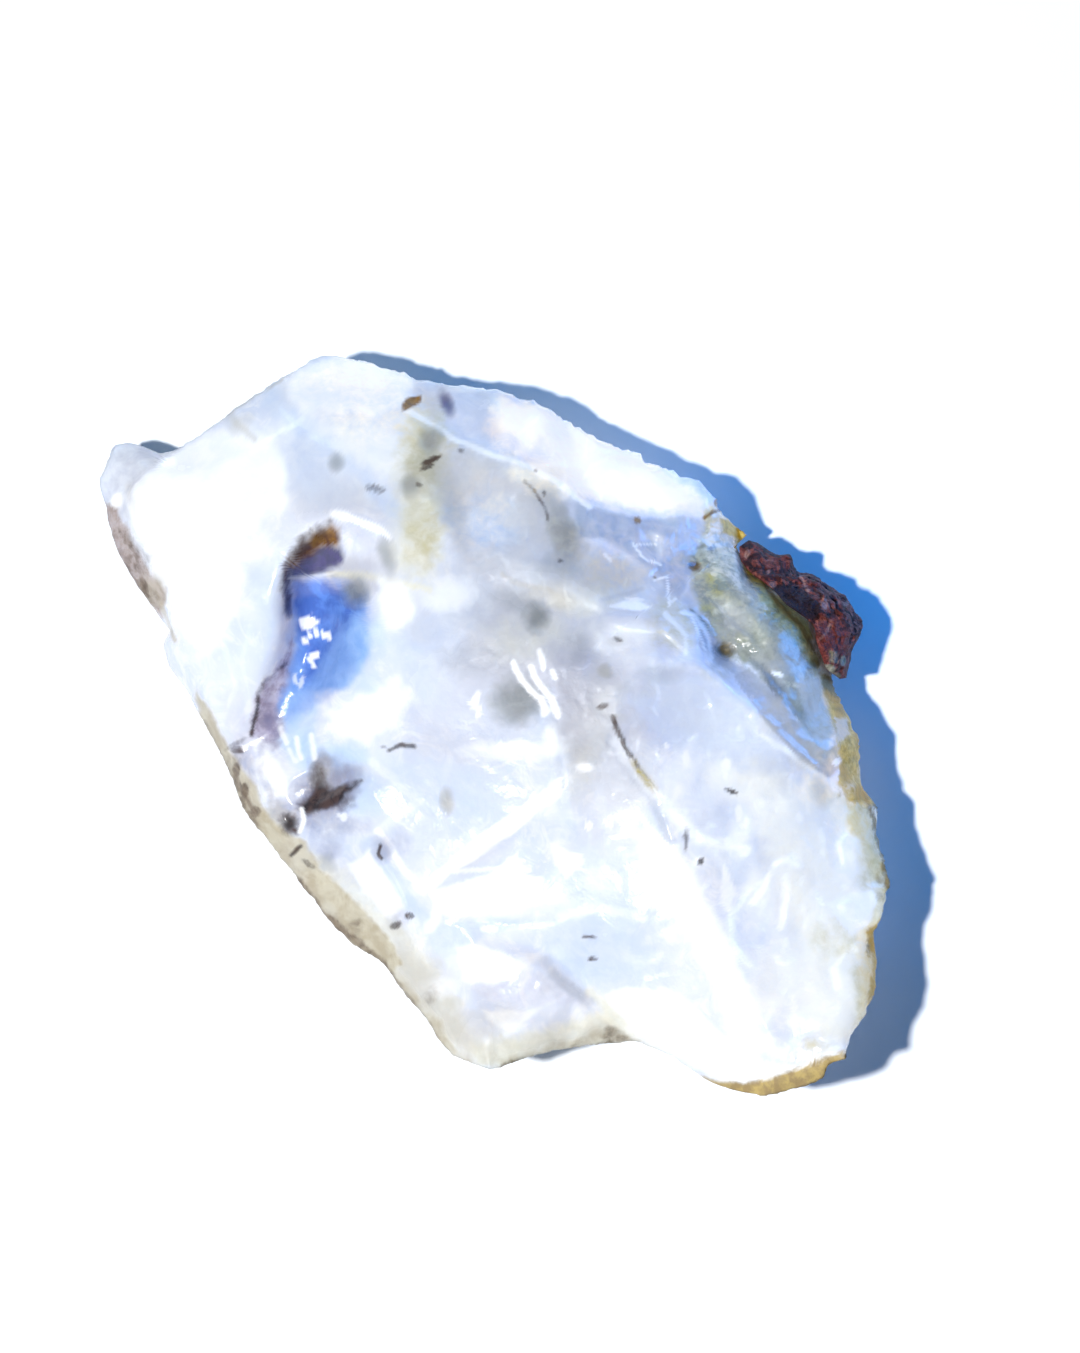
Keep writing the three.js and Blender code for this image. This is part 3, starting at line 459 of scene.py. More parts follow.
def plainFaces():
    # heights mixed from the three corners of each plain triangle, less a dish in its middle
    points = np.array([tuple(p) for p in outline] + [p for group in corners.values() for p in group])
    flat = [Vector((float(p[0]), float(p[1]))) for p in points]
    triangles = delaunay_2d_cdt(flat, [], [], 0, 1e-5)[2]
    heights = np.full(mapU.shape, np.nan)
    margin, slack = 0.1, -1e-6
    atMiddle = 27                 # the three shares' product times this is one in the middle
    for triangle in triangles:
        a, b, c = points[list(triangle)]
        part = slicesAround([a, b, c], margin)
        u, v = mapU[part], mapV[part]
        area = (b[0] - a[0]) * (c[1] - a[1]) - (c[0] - a[0]) * (b[1] - a[1])
        wb = ((u - a[0]) * (c[1] - a[1]) - (c[0] - a[0]) * (v - a[1])) / area
        wc = ((b[0] - a[0]) * (v - a[1]) - (u - a[0]) * (b[1] - a[1])) / area
        wa = 1 - wb - wc
        held = (wa >= slack) & (wb >= slack) & (wc >= slack)
        plane = wa * a[2] + wb * b[2] + wc * c[2] - opalShape["faceDish"] * atMiddle * wa * wb * wc
        heights[part] = np.where(held, plane, heights[part])
    return heights


def rimAt(angles):
    # the ray at each angle meets the outline: radius and rim height there
    order = np.argsort(np.arctan2(outline[:, 1], outline[:, 0]))
    ring = outline[order]
    ringAngles = np.arctan2(ring[:, 1], ring[:, 0])
    after = np.searchsorted(ringAngles, angles) % len(ring)
    (au, av, aHeight), (bu, bv, bHeight) = ring[after - 1].T, ring[after].T
    du, dv = np.cos(angles), np.sin(angles)
    radius = (au * bv - av * bu) / (du * (bv - av) - dv * (bu - au))
    share = np.hypot(radius * du - au, radius * dv - av) / np.hypot(bu - au, bv - av)
    return radius, aHeight + (bHeight - aHeight) * share


def heightMap():
    # worn faces, kept crisp along the ridges, less flake steps and bowls, plus ripples
    plain = plainFaces()
    held = ~np.isnan(plain)
    inside = areaField([tuple(p[:2]) for p in outline], mapU, mapV)
    held &= inside > -0.05        # mm, so that the rim itself is held
    filled = np.where(held, plain, 0)

    def softened(radius):
        return blur(filled, radius) / np.maximum(blur(held.astype(float), radius), 1e-4)

    worn = softened(opalShape["worn"])
    crisp = softened(opalShape["crisp"])
    crispTo, wornFrom = opalShape["crispRim"]
    keep = smoothStep(wornFrom, crispTo, inside)
    for line in ridges.values():
        part = slicesAround(line, 2.0)
        away = lineField(line, mapU[part], mapV[part])[0]
        keep[part] = np.maximum(keep[part], np.exp(-(away / opalShape["ridgeReach"]) ** 2))
    heights = worn + (crisp - worn) * keep
    sway, length = opalShape["wander"]
    margin = 0.4                  # mm, more than anything wanders
    warpU = mapU + sway * cloudNoise(mapU, mapV, length, 11)
    warpV = mapV + sway * cloudNoise(mapU, mapV, length, 17)
    ends = opalShape["flakeFade"]
    for line, drop, reach in flakeSteps.values():
        part = slicesAround(line, reach + margin)
        away, right, along = lineField(line, warpU[part], warpV[part])
        fade = smoothStep(0, ends, along) * smoothStep(0, ends, 1 - along)
        slope = np.clip(1 - away / reach, 0, 1) * smoothStep(0, opalShape["flakeEdge"], away)
        heights[part] -= np.where(right, drop * fade * slope, 0)
    for centre, half, turn, depth in bowls.values():
        part = slicesAround([centre], max(half) + margin)
        heights[part] -= depth * np.clip(ovalField(centre, half, turn, warpU[part], warpV[part]), 0, 1)
    for struck, wave, high, area, half in ripples.values():
        part = slicesAround([area], max(half) + 0.3)
        u, v = warpU[part], warpV[part]
        away = np.hypot(u - struck[0], v - struck[1])
        window = np.sqrt(np.clip(ovalField(area, half, 0, u, v), 0, 1))
        heights[part] += high * window * np.sin(2 * math.pi * away / wave)
    return heights


def stand(u, v, z):
    # where the line of sight through a seen place meets its height; mm to metres, origin under the box
    height = z * opalShape["crest"] / opalShape["crestDrawn"]
    return np.stack([u, v / math.sin(eyeAngle) - height / math.tan(eyeAngle) - depthMiddle, height], -1) * mm


depthMiddle = 0.0
rimStood = stand(outline[:, 0], outline[:, 1], outline[:, 2]) / mm
depthMiddle = (rimStood[:, 1].min() + rimStood[:, 1].max()) / 2

heights = heightMap()
print("height map worked out")


def seen(places):
    # picture pixels to the millimetres in which the stone is written down
    places = np.asarray(places, float)
    middle = np.array(view["stoneMiddle"])
    return (places - middle) * np.array([1, -1]) / view["pixelsPerMm"]


# What is laid into the opal's colour, layer by layer, in picture pixels; some layers are painted light:
# highlights, shade, shadow and glow.
# areas: (outline, softness, strength); spots: (x, y, half across, half up, turn if any, strength);
# lines: (points, half width, strength)
paint = {
    # greyish, clearer stone round the crown
    "greyVeil": {"areas": [
        ([(425, 440), (470, 452), (540, 470), (575, 500), (575, 540), (560, 570), (520, 565), (490, 580),
          (455, 560), (440, 500)], 12, 0.75),
        ([(470, 590), (560, 600), (600, 640), (580, 700), (520, 720), (480, 680), (450, 620)], 18, 0.55),
    ], "spots": [
        (575, 700, 20, 38, 0.5), (592, 706, 30, 34, 0.35), (372, 574, 16, 14, 0.5), (545, 672, 16, 16, 0.4),
        (354, 568, 18, 13, 0.7), (345, 500, 44, 26, -10, 0.6), (610, 640, 40, 26, -20, 0.5),
        (580, 700, 40, 50, 0.5), (300, 480, 18, 34, 0.3), (480, 680, 60, 60, 0.5), (540, 640, 50, 50, 0.5),
        (450, 740, 50, 40, 0.4), (580, 590, 60, 40, 0.4), (640, 600, 30, 30, 0.5), (576, 690, 26, 34, 0.75),
        (590, 742, 36, 26, 0.5), (622, 786, 34, 26, 0.45), (566, 760, 34, 16, 0.35),
        (510, 612, 34, 20, 0.45), (484, 576, 44, 22, 0.5), (530, 574, 40, 12, 0.5), (572, 728, 30, 26, 0.5),
        (620, 690, 24, 24, 0.4), (480, 790, 60, 16, 0.25), (655, 870, 20, 20, 0.2), (610, 830, 26, 16, 0.4),
    ]},
    # pale blue, where the stone is clear
    "mist": {"areas": [
        ([(520, 700), (556, 690), (566, 780), (576, 830), (620, 900), (660, 960), (668, 985), (600, 985),
          (560, 960), (548, 925), (560, 880), (585, 862), (566, 830), (548, 770)], 14, 0.7),
        ([(540, 915), (600, 925), (620, 975), (580, 990), (548, 950)], 14, 0.9),
        ([(622, 700), (650, 672), (700, 676), (760, 735), (800, 780), (760, 800), (716, 770),
          (660, 745)], 12, 0.7),
        ([(290, 745), (420, 760), (500, 770), (520, 800), (460, 840), (420, 860), (380, 830),
          (330, 810)], 16, 0.55),
        ([(400, 600), (470, 640), (520, 720), (500, 760), (440, 730), (400, 680)], 16, 0.4),
        ([(690, 770), (740, 790), (790, 830), (780, 900), (720, 880), (680, 840)], 14, 0.5),
        ([(425, 925), (454, 918), (512, 913), (542, 915), (512, 925), (473, 939), (459, 959),
          (434, 954)], 4, 0.9), ([(430, 860), (500, 862), (520, 880), (470, 882), (430, 886)], 4, 0.5),
        ([(248, 570), (285, 560), (284, 610), (272, 640), (258, 610)], 8, 0.7),
    ], "spots": [
        (330, 838, 32, 22, 0.6), (400, 642, 20, 26, 0.5), (426, 662, 24, 42, 0.4), (704, 584, 9, 16, 0.4),
        (491, 522, 26, 28, 1.0), (630, 595, 24, 9, 10, 0.6), (375, 778, 26, 20, 0.6),
        (606, 890, 44, 44, 0.6), (440, 620, 50, 20, 30, 0.5), (300, 460, 50, 24, -40, 0.6),
        (335, 440, 60, 18, 0.4), (225, 660, 34, 44, 20, 0.3), (800, 930, 20, 50, -10, 0.6),
        (740, 940, 16, 40, -20, 0.5), (480, 800, 60, 20, -20, 0.4), (640, 450, 24, 6, 30, 0.4),
        (560, 424, 24, 6, 30, 0.5), (650, 830, 12, 40, -20, 0.6),
    ], "lines": [
        ([(266, 388), (285, 412), (310, 436), (353, 463), (394, 512)], 9, 0.9),
        ([(372, 843), (384, 858), (404, 896), (424, 915)], 8, 1.0),
        ([(300, 735), (320, 760), (350, 780)], 14, 0.8), ([(525, 850), (512, 862), (500, 880)], 2.5, 0.7),
        ([(742, 975), (758, 940), (766, 900)], 4, 0.8),
    ]},
    "lavender": {"areas": [
        ([(412, 385), (460, 380), (500, 396), (506, 430), (490, 446), (460, 436), (425, 412)], 6, 0.7),
        ([(473, 988), (532, 969), (556, 974), (580, 1003), (532, 1003), (493, 998)], 5, 0.5),
        ([(606, 614), (640, 606), (672, 625), (684, 650), (655, 662), (622, 680), (608, 700),
          (600, 650)], 5, 0.6),
        ([(620, 700), (635, 678), (660, 664), (700, 668), (720, 700), (690, 740), (640, 740)], 8, 0.75),
        ([(224, 700), (246, 680), (252, 735), (262, 760), (250, 790), (232, 760)], 8, 0.6),
    ], "spots": [
        (545, 680, 26, 28, 0.5), (578, 708, 20, 34, 0.5), (455, 695, 36, 40, 0.35), (485, 665, 26, 26, 0.35),
        (350, 525, 40, 18, 0.35), (425, 625, 18, 30, 0.4), (378, 568, 20, 26, 0.5), (585, 690, 24, 36, 0.35),
        (625, 725, 20, 20, 0.3), (775, 775, 24, 24, 0.3), (444, 402, 14, 16, 0.9), (775, 860, 34, 34, 0.5),
        (470, 720, 50, 50, 0.25), (530, 500, 50, 30, 0.35), (600, 560, 40, 20, 0.5), (420, 820, 40, 40, 0.3),
        (250, 830, 10, 20, 0.3), (325, 850, 16, 12, 0.5), (700, 820, 30, 20, 0.3),
    ], "lines": [
        ([(795, 890), (798, 940), (800, 990)], 12, 0.5),
    ]},
    "cream": {"areas": [
        ([(420, 420), (436, 440), (444, 500), (440, 560), (425, 582), (398, 575), (392, 540),
          (402, 470)], 15, 0.8),
        ([(512, 1032), (561, 1022), (605, 1006), (640, 1040), (610, 1044), (561, 1049), (512, 1066),
          (480, 1064), (470, 1040)], 7, 0.8),
        ([(838, 790), (870, 800), (885, 850), (880, 900), (862, 900), (850, 850), (828, 820)], 7, 0.8),
        ([(310, 850), (360, 880), (420, 940), (460, 1000), (470, 1050), (440, 1055), (380, 980),
          (320, 900)], 10, 0.6),
        ([(810, 940), (850, 930), (870, 980), (860, 1030), (820, 1040), (800, 1000)], 10, 0.5),
    ], "spots": [
        (425, 430, 16, 20, 0.5), (876, 830, 12, 34, 0.8), (878, 890, 11, 50, 0.8), (866, 960, 12, 36, 0.6),
        (585, 740, 24, 60, -20, 0.3), (590, 600, 30, 12, 10, 0.5), (530, 640, 40, 20, 0.3),
        (770, 1070, 60, 14, 10, 0.5),
    ], "lines": [
        ([(430, 590), (400, 584), (369, 576), (330, 575)], 3.5, 0.9),
        ([(590, 990), (620, 1015), (655, 1045)], 5, 0.7),
    ]},
    # painted light: warmer white on the faces the blue fill lamps reach, set to cancel their blue
    "warmWhite": {"areas": [
        ([(490, 396), (560, 408), (620, 428), (664, 458), (690, 490), (650, 510), (590, 500), (530, 492),
          (500, 470), (560, 462), (540, 440), (500, 428)], 9, 0.9),
        ([(700, 758), (760, 768), (830, 786), (872, 800), (890, 850), (886, 920), (872, 1000), (850, 1036),
          (806, 1010), (790, 930), (776, 870), (740, 810), (704, 790)], 14, 0.9),
        ([(328, 420), (380, 432), (410, 450), (400, 480), (370, 470), (340, 445)], 10, 0.7),
    ], "spots": [
        (640, 480, 40, 24, 20, 0.8), (775, 975, 30, 34, 0.9), (870, 900, 16, 70, 0.8),
        (876, 830, 12, 30, 0.8), (780, 880, 30, 30, 0.5), (620, 640, 26, 18, 0.5),
        (360, 430, 40, 20, 20, 0.5),
    ], "lines": [
        ([(851, 720), (858, 760), (872, 800)], 5, 0.5),
    ]},
    "slate": {"areas": [
        ([(578, 494), (592, 508), (629, 517), (666, 519), (703, 517), (712, 519), (724, 537), (703, 556),
          (687, 580), (677, 602), (657, 579), (638, 560), (602, 540), (580, 540), (574, 512)], 3, 0.95),
        ([(680, 600), (700, 560), (720, 560), (716, 620), (730, 662), (716, 668), (706, 640),
          (690, 622)], 4, 0.7),
    ], "spots": [
        (560, 560, 24, 20, 0.4), (545, 490, 24, 14, 30, 0.3), (720, 555, 20, 12, 0.4),
    ], "lines": [
        ([(609, 740), (632, 774), (652, 800), (668, 840)], 5, 0.8),
        # painted shade in the valley right of the bottom lobe's ridge
        ([(546, 958), (563, 980), (588, 1000)], 5, 0.4), ([(553, 970), (568, 984), (582, 994)], 5, 0.5),
        ([(608, 712), (618, 690), (640, 672), (668, 662), (712, 668)], 2.6, 0.2),
        ([(602, 600), (612, 598), (640, 590)], 2, 0.5), ([(549, 690), (556, 740), (562, 790)], 3, 0.4),
        ([(660, 545), (680, 560), (690, 575)], 2.4, 0.8),
    ]},
    "mossy": {"areas": [
        ([(706, 512), (742, 530), (752, 566), (776, 600), (806, 626), (816, 660), (830, 690), (850, 730),
          (850, 772), (838, 768), (813, 744), (793, 719), (771, 688), (748, 664), (726, 650), (712, 630),
          (700, 606), (690, 590), (690, 556), (700, 540)], 4, 0.95),
    ], "spots": [
        (695, 560, 14, 10, 0.6),
    ]},
    # the clear, greyer step beside it
    "wedge": {"areas": [
        ([(733, 676), (748, 668), (771, 690), (793, 720), (813, 746), (836, 768), (824, 778), (800, 764),
          (776, 737), (752, 706)], 1.6, 0.9),
        ([(700, 618), (712, 640), (736, 664), (748, 668), (740, 678), (716, 664), (696, 644)], 2, 0.6),
    ], "spots": [
        (668, 590, 10, 6, 30, 0.5), (672, 560, 8, 26, 0.5),
    ]},
    "mossGreen": {"areas": [
        ([(756, 588), (770, 594), (790, 600), (808, 622), (812, 640), (800, 644), (780, 634),
          (764, 615)], 3, 0.95),
        ([(698, 604), (716, 606), (728, 622), (746, 640), (738, 646), (716, 640), (702, 626)], 4, 0.7),
        ([(704, 576), (724, 572), (730, 586), (716, 596), (706, 592)], 4, 0.6),
        ([(790, 642), (804, 640), (816, 656), (818, 668), (802, 660)], 2, 0.9),
    ], "spots": [
        (798, 714, 6, 6, 0.7), (750, 575, 5, 12, 20, 0.5),
    ], "lines": [
        ([(742, 546), (750, 570), (764, 590)], 3, 0.7),
    ]},
    "mossGrey": {"areas": [
        ([(760, 662), (770, 670), (784, 694), (798, 716), (792, 718), (776, 700), (764, 680)], 2, 0.8),
    ], "spots": [
        (745, 630, 14, 28, 0.3), (764, 646, 14, 20, 0.25), (782, 650, 16, 26, 0.35), (725, 651, 9, 8, 1.0),
        (718, 646, 4, 4, 0.8), (694, 567, 6, 5, 0.8), (800, 715, 9, 7, 0.5), (780, 612, 16, 8, 40, 0.5),
    ], "lines": [
        ([(689, 611), (700, 620), (706, 630)], 1.6, 0.9), ([(742, 650), (760, 668), (775, 700)], 1.4, 0.6),
        ([(798, 717), (812, 740), (826, 760)], 1.4, 0.5),
    ]},
    # grey shade over the veils and clouds
    "dim": {"spots": [
        (625, 785, 24, 20, 0.45), (775, 775, 22, 20, 0.3), (725, 640, 20, 14, 0.3), (575, 690, 24, 20, 0.25),
        (340, 870, 18, 16, 0.2), (375, 850, 26, 30, 0.2), (576, 672, 28, 26, 0.75), (574, 722, 24, 26, 0.65),
        (625, 750, 26, 28, 0.5), (425, 625, 26, 24, 0.25), (475, 675, 30, 26, 0.35), (376, 576, 26, 20, 0.4),
        (350, 780, 36, 18, 0.3), (622, 572, 26, 14, 0.4), (675, 590, 22, 22, 0.25), (722, 624, 22, 18, 0.4),
        (775, 672, 22, 26, 30, 0.35), (575, 585, 24, 14, 0.25), (325, 560, 24, 14, 0.2),
        (520, 680, 16, 20, 0.2), (275, 780, 18, 16, 0.25),
    ]},
    # white stone with painted light on it: the lit left faces, the hollow's lit right wall, and highlight
    # lines along ridges and facet edges
    "whiteAndHighlight": {"areas": [
        ([(131, 492), (164, 455), (205, 434), (238, 424), (275, 440), (291, 475), (289, 504), (270, 516),
          (250, 537), (236, 553), (246, 578), (238, 602), (222, 640), (205, 655), (176, 627), (168, 594),
          (151, 570), (139, 537), (127, 504)], 8, 1.0),
        ([(289, 381), (303, 369), (336, 354), (377, 361), (412, 377), (408, 404), (377, 418), (336, 412),
          (303, 410), (291, 397)], 5, 1.0),
        ([(425, 881), (464, 847), (493, 823), (532, 798), (561, 776), (563, 793), (537, 810), (512, 832),
          (483, 852), (454, 871), (429, 891)], 2, 1.0),
        ([(429, 891), (464, 881), (493, 871), (517, 852), (520, 871), (542, 876), (539, 900), (493, 908),
          (454, 915), (434, 905)], 2.5, 1.0),
        ([(551, 842), (581, 852), (583, 862), (566, 876), (556, 862)], 2.5, 0.95),
        ([(459, 947), (473, 940), (498, 947), (527, 964), (493, 983), (464, 978)], 3, 1.0),
        ([(483, 1008), (541, 1008), (507, 1034)], 3, 1.0),
        ([(634, 833), (652, 828), (672, 846), (679, 873), (695, 900), (715, 932), (728, 963), (739, 994),
          (752, 1024), (784, 1050), (740, 1045), (726, 1021), (708, 972), (695, 945), (679, 918), (652, 900),
          (636, 870)], 8, 0.9),
        ([(605, 994), (627, 985), (668, 988), (690, 999), (717, 1030), (762, 1057), (793, 1060), (829, 1046),
          (811, 1071), (762, 1080), (717, 1076), (686, 1060), (640, 1037)], 4, 1.0),
        ([(824, 902), (850, 889), (868, 886), (874, 900), (866, 920), (848, 932)], 2.5, 0.95),
        ([(583, 452), (620, 462), (657, 480), (690, 500), (657, 512), (620, 508), (596, 500)], 6, 0.9),
        ([(500, 556), (518, 563), (551, 565), (578, 582), (606, 595), (602, 612), (583, 607), (565, 591),
          (532, 586), (512, 579)], 4, 0.3), ([(606, 606), (630, 600), (652, 607), (640, 612)], 1.5, 1.0),
        ([(384, 584), (410, 588), (418, 612), (402, 632), (388, 626)], 9, 0.95),
        ([(398, 676), (414, 700), (396, 724), (366, 740), (332, 730), (324, 708), (356, 700),
          (384, 684)], 9, 0.95), ([(720, 860), (733, 885), (728, 912), (718, 900)], 2, 0.8),
        ([(350, 864), (370, 850), (390, 880), (404, 905), (392, 918), (370, 895)], 4, 0.85),
        ([(252, 760), (268, 750), (286, 775), (288, 795), (268, 800), (254, 785)], 3, 0.85),
    ], "spots": [
        (470, 388, 18, 4, 0.9), (528, 434, 8, 24, -20, 0.8), (620, 800, 30, 50, -30, 0.3),
        (470, 960, 24, 16, 0.5), (440, 985, 16, 9, 0.9), (510, 750, 40, 8, 0.7), (552, 740, 8, 14, 0.7),
        (680, 770, 12, 24, -20, 0.7), (720, 780, 10, 20, 0.7), (738, 830, 10, 20, -10, 0.8),
        (700, 800, 14, 14, 0.4), (760, 920, 20, 40, 0.4), (842, 856, 10, 20, 0.6),
        (800, 1010, 20, 10, 20, 0.4), (250, 552, 14, 9, 0.9), (640, 660, 30, 10, 0.3),
        (390, 560, 12, 30, 0.3), (620, 640, 24, 12, 0.3), (450, 595, 22, 14, 0.8), (395, 600, 14, 16, 0.6),
        (520, 900, 60, 12, 0.4), (596, 880, 14, 14, 0.4), (250, 440, 40, 20, 0.5), (370, 460, 30, 34, 0.3),
    ], "lines": [
        ([(408, 412), (425, 420), (455, 440), (490, 455), (530, 468), (560, 486), (590, 508)], 2.6, 0.9),
        ([(672, 846), (690, 880), (712, 920), (728, 955), (745, 1000)], 6, 0.6),
        ([(614, 740), (640, 775), (664, 805), (700, 838), (745, 846)], 5, 0.35),
        ([(760, 735), (790, 755), (818, 776), (850, 800)], 2.6, 0.7),
        ([(380, 830), (392, 845), (405, 868), (424, 890)], 3, 0.9),
        ([(372, 760), (420, 800), (380, 830)], 4, 0.3), ([(455, 870), (500, 866), (530, 868)], 2, 0.8),
        ([(440, 905), (430, 925)], 5, 0.8), ([(560, 915), (600, 905), (640, 915)], 4, 0.4),
        ([(664, 614), (684, 636), (684, 654)], 2.2, 0.7), ([(700, 625), (708, 640), (710, 658)], 2.2, 0.9),
        ([(682, 612), (694, 616), (700, 628)], 2, 0.8),
    ]},
    "skyBlue": {"areas": [
        ([(291, 600), (330, 590), (366, 596), (373, 627), (371, 652), (363, 672), (346, 687), (322, 693),
          (300, 698), (282, 712), (278, 706), (288, 680), (293, 640)], 6, 0.95),
    ], "spots": [
        (290, 708, 12, 18, 0.8), (306, 706, 10, 10, 0.4),
    ]},
    "deepBlue": {"areas": [
        ([(289, 580), (320, 578), (345, 582), (366, 592), (364, 610), (350, 625), (330, 650), (312, 680),
          (304, 684), (300, 650), (292, 615)], 8, 0.95),
        ([(298, 640), (350, 636), (357, 672), (330, 694), (304, 712), (284, 722), (282, 696)], 7, 0.4),
    ], "spots": [
        (370, 612, 10, 12, 0.3),
    ], "lines": [
        ([(296, 650), (284, 690), (272, 730)], 4, 0.4),
    ]},
    # dark blue at the top of the hollow: the stone's blue, darkened as painted shade on the wall turned from
    # the light
    "indigo": {"areas": [
        ([(290, 568), (300, 556), (312, 549), (330, 543), (343, 546), (343, 560), (325, 573), (300, 579),
          (290, 580)], 5, 0.95),
    ], "spots": [
        (274, 716, 8, 22, 12, 0.3), (271, 722, 4, 9, 0.5), (446, 403, 6, 12, 25, 0.85),
        (326, 796, 12, 7, -10, 0.8), (268, 717, 3, 4, 0.8),
    ], "lines": [
        ([(289, 566), (288, 590), (289, 616)], 3, 0.8),
    ]},
    # dim blue violet round the brown star; its line along the left lobe's edge is painted shade
    "dusk": {"areas": [
        ([(308, 790), (312, 766), (324, 758), (344, 766), (362, 780), (360, 794), (346, 806), (326, 814),
          (310, 810)], 8, 0.55),
    ], "spots": [
        (326, 826, 22, 20, 0.4), (276, 826, 18, 20, 0.3), (272, 728, 12, 22, 0.35), (384, 848, 9, 12, 0.6),
        (330, 788, 24, 22, 0.6), (352, 824, 18, 8, 0.3), (312, 820, 10, 6, 0.5), (308, 792, 14, 18, 0.55),
        (292, 812, 14, 14, 0.5), (330, 768, 20, 12, 0.4), (352, 778, 14, 14, 0.25),
        (250, 765, 8, 24, 20, 0.45), (276, 802, 6, 20, 30, 0.35), (322, 764, 8, 14, 0.7),
        (404, 838, 10, 12, 0.2), (330, 852, 12, 8, 30, 0.35), (398, 920, 12, 8, 30, 0.3),
    ], "lines": [
        ([(262, 742), (262, 770), (272, 796)], 3, 0.3),
        ([(178, 447), (160, 458), (140, 473), (126, 490)], 2.6, 0.55),
    ]},
    "paleBlue": {"areas": [
        ([(282, 690), (324, 690), (320, 706), (314, 740), (300, 752), (280, 748), (272, 730)], 6, 0.5),
        ([(284, 740), (304, 736), (332, 760), (346, 772), (326, 782), (300, 766)], 8, 0.6),
    ], "spots": [
        (360, 680, 20, 12, 0.5), (376, 640, 10, 26, 0.4), (334, 756, 16, 12, 0.6), (354, 754, 14, 10, 0.5),
        (362, 796, 20, 18, 0.4),
    ], "lines": [
        ([(293, 622), (291, 650), (287, 678)], 4, 0.7),
    ]},
    "mossPale": {"areas": [
        ([(706, 524), (738, 536), (752, 560), (744, 588), (722, 584), (706, 560)], 5, 0.7),
        ([(742, 600), (768, 618), (790, 640), (806, 668), (812, 690), (790, 690), (764, 664),
          (744, 632)], 5, 0.6),
        ([(796, 690), (818, 680), (832, 700), (844, 748), (838, 764), (822, 744), (808, 716)], 4, 0.6),
    ], "spots": [
        (712, 540, 12, 5, 0.8), (732, 566, 10, 5, 0.8), (752, 610, 10, 6, 30, 0.7),
        (778, 650, 8, 6, 40, 0.7), (806, 650, 8, 8, 40, 0.5), (826, 700, 6, 12, 0.7),
        (722, 610, 8, 4, 20, 0.6), (760, 640, 14, 4, 40, 0.6),
    ], "lines": [
        ([(704, 548), (722, 556), (738, 572), (740, 590)], 1.6, 0.9),
        ([(712, 574), (728, 580), (744, 580)], 1.4, 0.9), ([(722, 530), (738, 548), (752, 552)], 1.4, 0.8),
        ([(770, 668), (778, 674), (784, 676)], 1.8, 1.0), ([(748, 596), (756, 606), (772, 610)], 1.5, 0.8),
        ([(756, 636), (776, 656), (796, 684)], 1.4, 0.7), ([(742, 648), (762, 672), (792, 712)], 1.2, 0.8),
        ([(800, 690), (812, 712), (828, 742)], 1.2, 0.7), ([(716, 646), (746, 668), (776, 708)], 1.2, 0.7),
    ]},
    # violet of the hollow's left wall; its darker tones are painted shade on the wall turned from the light
    "wallViolet": {"areas": [
        ([(294, 634), (284, 656), (267, 676), (258, 701), (250, 738), (263, 738), (272, 716), (280, 700),
          (288, 674)], 4, 0.85),
    ], "spots": [
        (272, 732, 9, 14, 0.8), (268, 716, 10, 22, 12, 0.8),
    ]},
    # the hollow's amber lip; its darker tone down the wall is painted shade
    "amber": {"areas": [
        ([(334, 527), (314, 535), (300, 548), (291, 563), (295, 568), (308, 557), (322, 548), (341, 544),
          (341, 531)], 4, 1.0),
        ([(403, 404), (408, 398), (420, 396), (421, 402), (408, 411), (403, 412)], 1.2, 1.0),
    ], "spots": [
        (637, 521, 3, 3, 0.9), (718, 503, 3.5, 4, 0.9),
    ]},
    "lobeGrey": {"areas": [
        ([(97, 485), (100, 465), (116, 442), (130, 445), (150, 446), (176, 447), (130, 487), (127, 503),
          (130, 520), (110, 515), (100, 505)], 3, 0.9),
    ], "spots": [
        (231, 420, 6, 14, 30, 0.7),
    ], "lines": [
        ([(205, 427), (232, 410), (266, 386), (290, 370)], 3, 0.7),
    ]},
    "smoke": {"spots": [
        (431, 440, 10, 12, 1.0), (411, 487, 9, 10, 0.9), (389, 555, 8, 16, 15, 0.7), (357, 592, 12, 13, 1.0),
        (337, 463, 7, 8, 0.7), (538, 618, 12, 12, 1.0), (565, 537, 14, 22, 20, 1.0),
        (556, 510, 9, 24, 20, 0.4), (518, 700, 24, 20, 20, 1.0), (580, 648, 10, 12, 0.2),
        (447, 800, 5, 12, 0.5), (818, 792, 9, 15, 20, 0.45), (525, 598, 22, 14, 0.4),
        (540, 500, 8, 24, 25, 0.25), (557, 570, 20, 14, 10, 0.4), (605, 672, 6, 6, 0.5),
        (450, 500, 12, 40, 20, 0.35), (425, 470, 14, 20, 0.4), (486, 660, 40, 14, 0.25),
        (660, 675, 20, 8, 0.25), (328, 862, 8, 8, 0.4),
    ]},
    # soft warm brown: in part the stone's own tone, in part painted shade below ridges and ledges and along
    # the top left edge
    "umberAndShade": {"areas": [
        ([(796, 684), (822, 674), (838, 700), (846, 740), (842, 768), (826, 760), (808, 728)], 5, 0.8),
        ([(764, 690), (780, 700), (806, 736), (824, 762), (806, 752), (782, 724)], 4, 0.5),
        ([(425, 425), (470, 450), (520, 472), (560, 492), (575, 525), (540, 545), (500, 525), (460, 500),
          (430, 470)], 12, 0.3),
        ([(400, 930), (440, 985), (475, 1030), (500, 1046), (490, 1060), (440, 1030), (400, 985),
          (385, 955)], 12, 0.65),
        ([(545, 1036), (600, 1020), (620, 1030), (600, 1044), (550, 1052)], 8, 0.35),
    ], "spots": [
        (820, 734, 18, 36, -20, 0.5), (778, 716, 16, 22, -30, 0.35), (724, 528, 20, 14, 0.45),
        (822, 682, 12, 18, 0.4), (470, 1028, 44, 16, 20, 0.5), (425, 978, 22, 22, 40, 0.3),
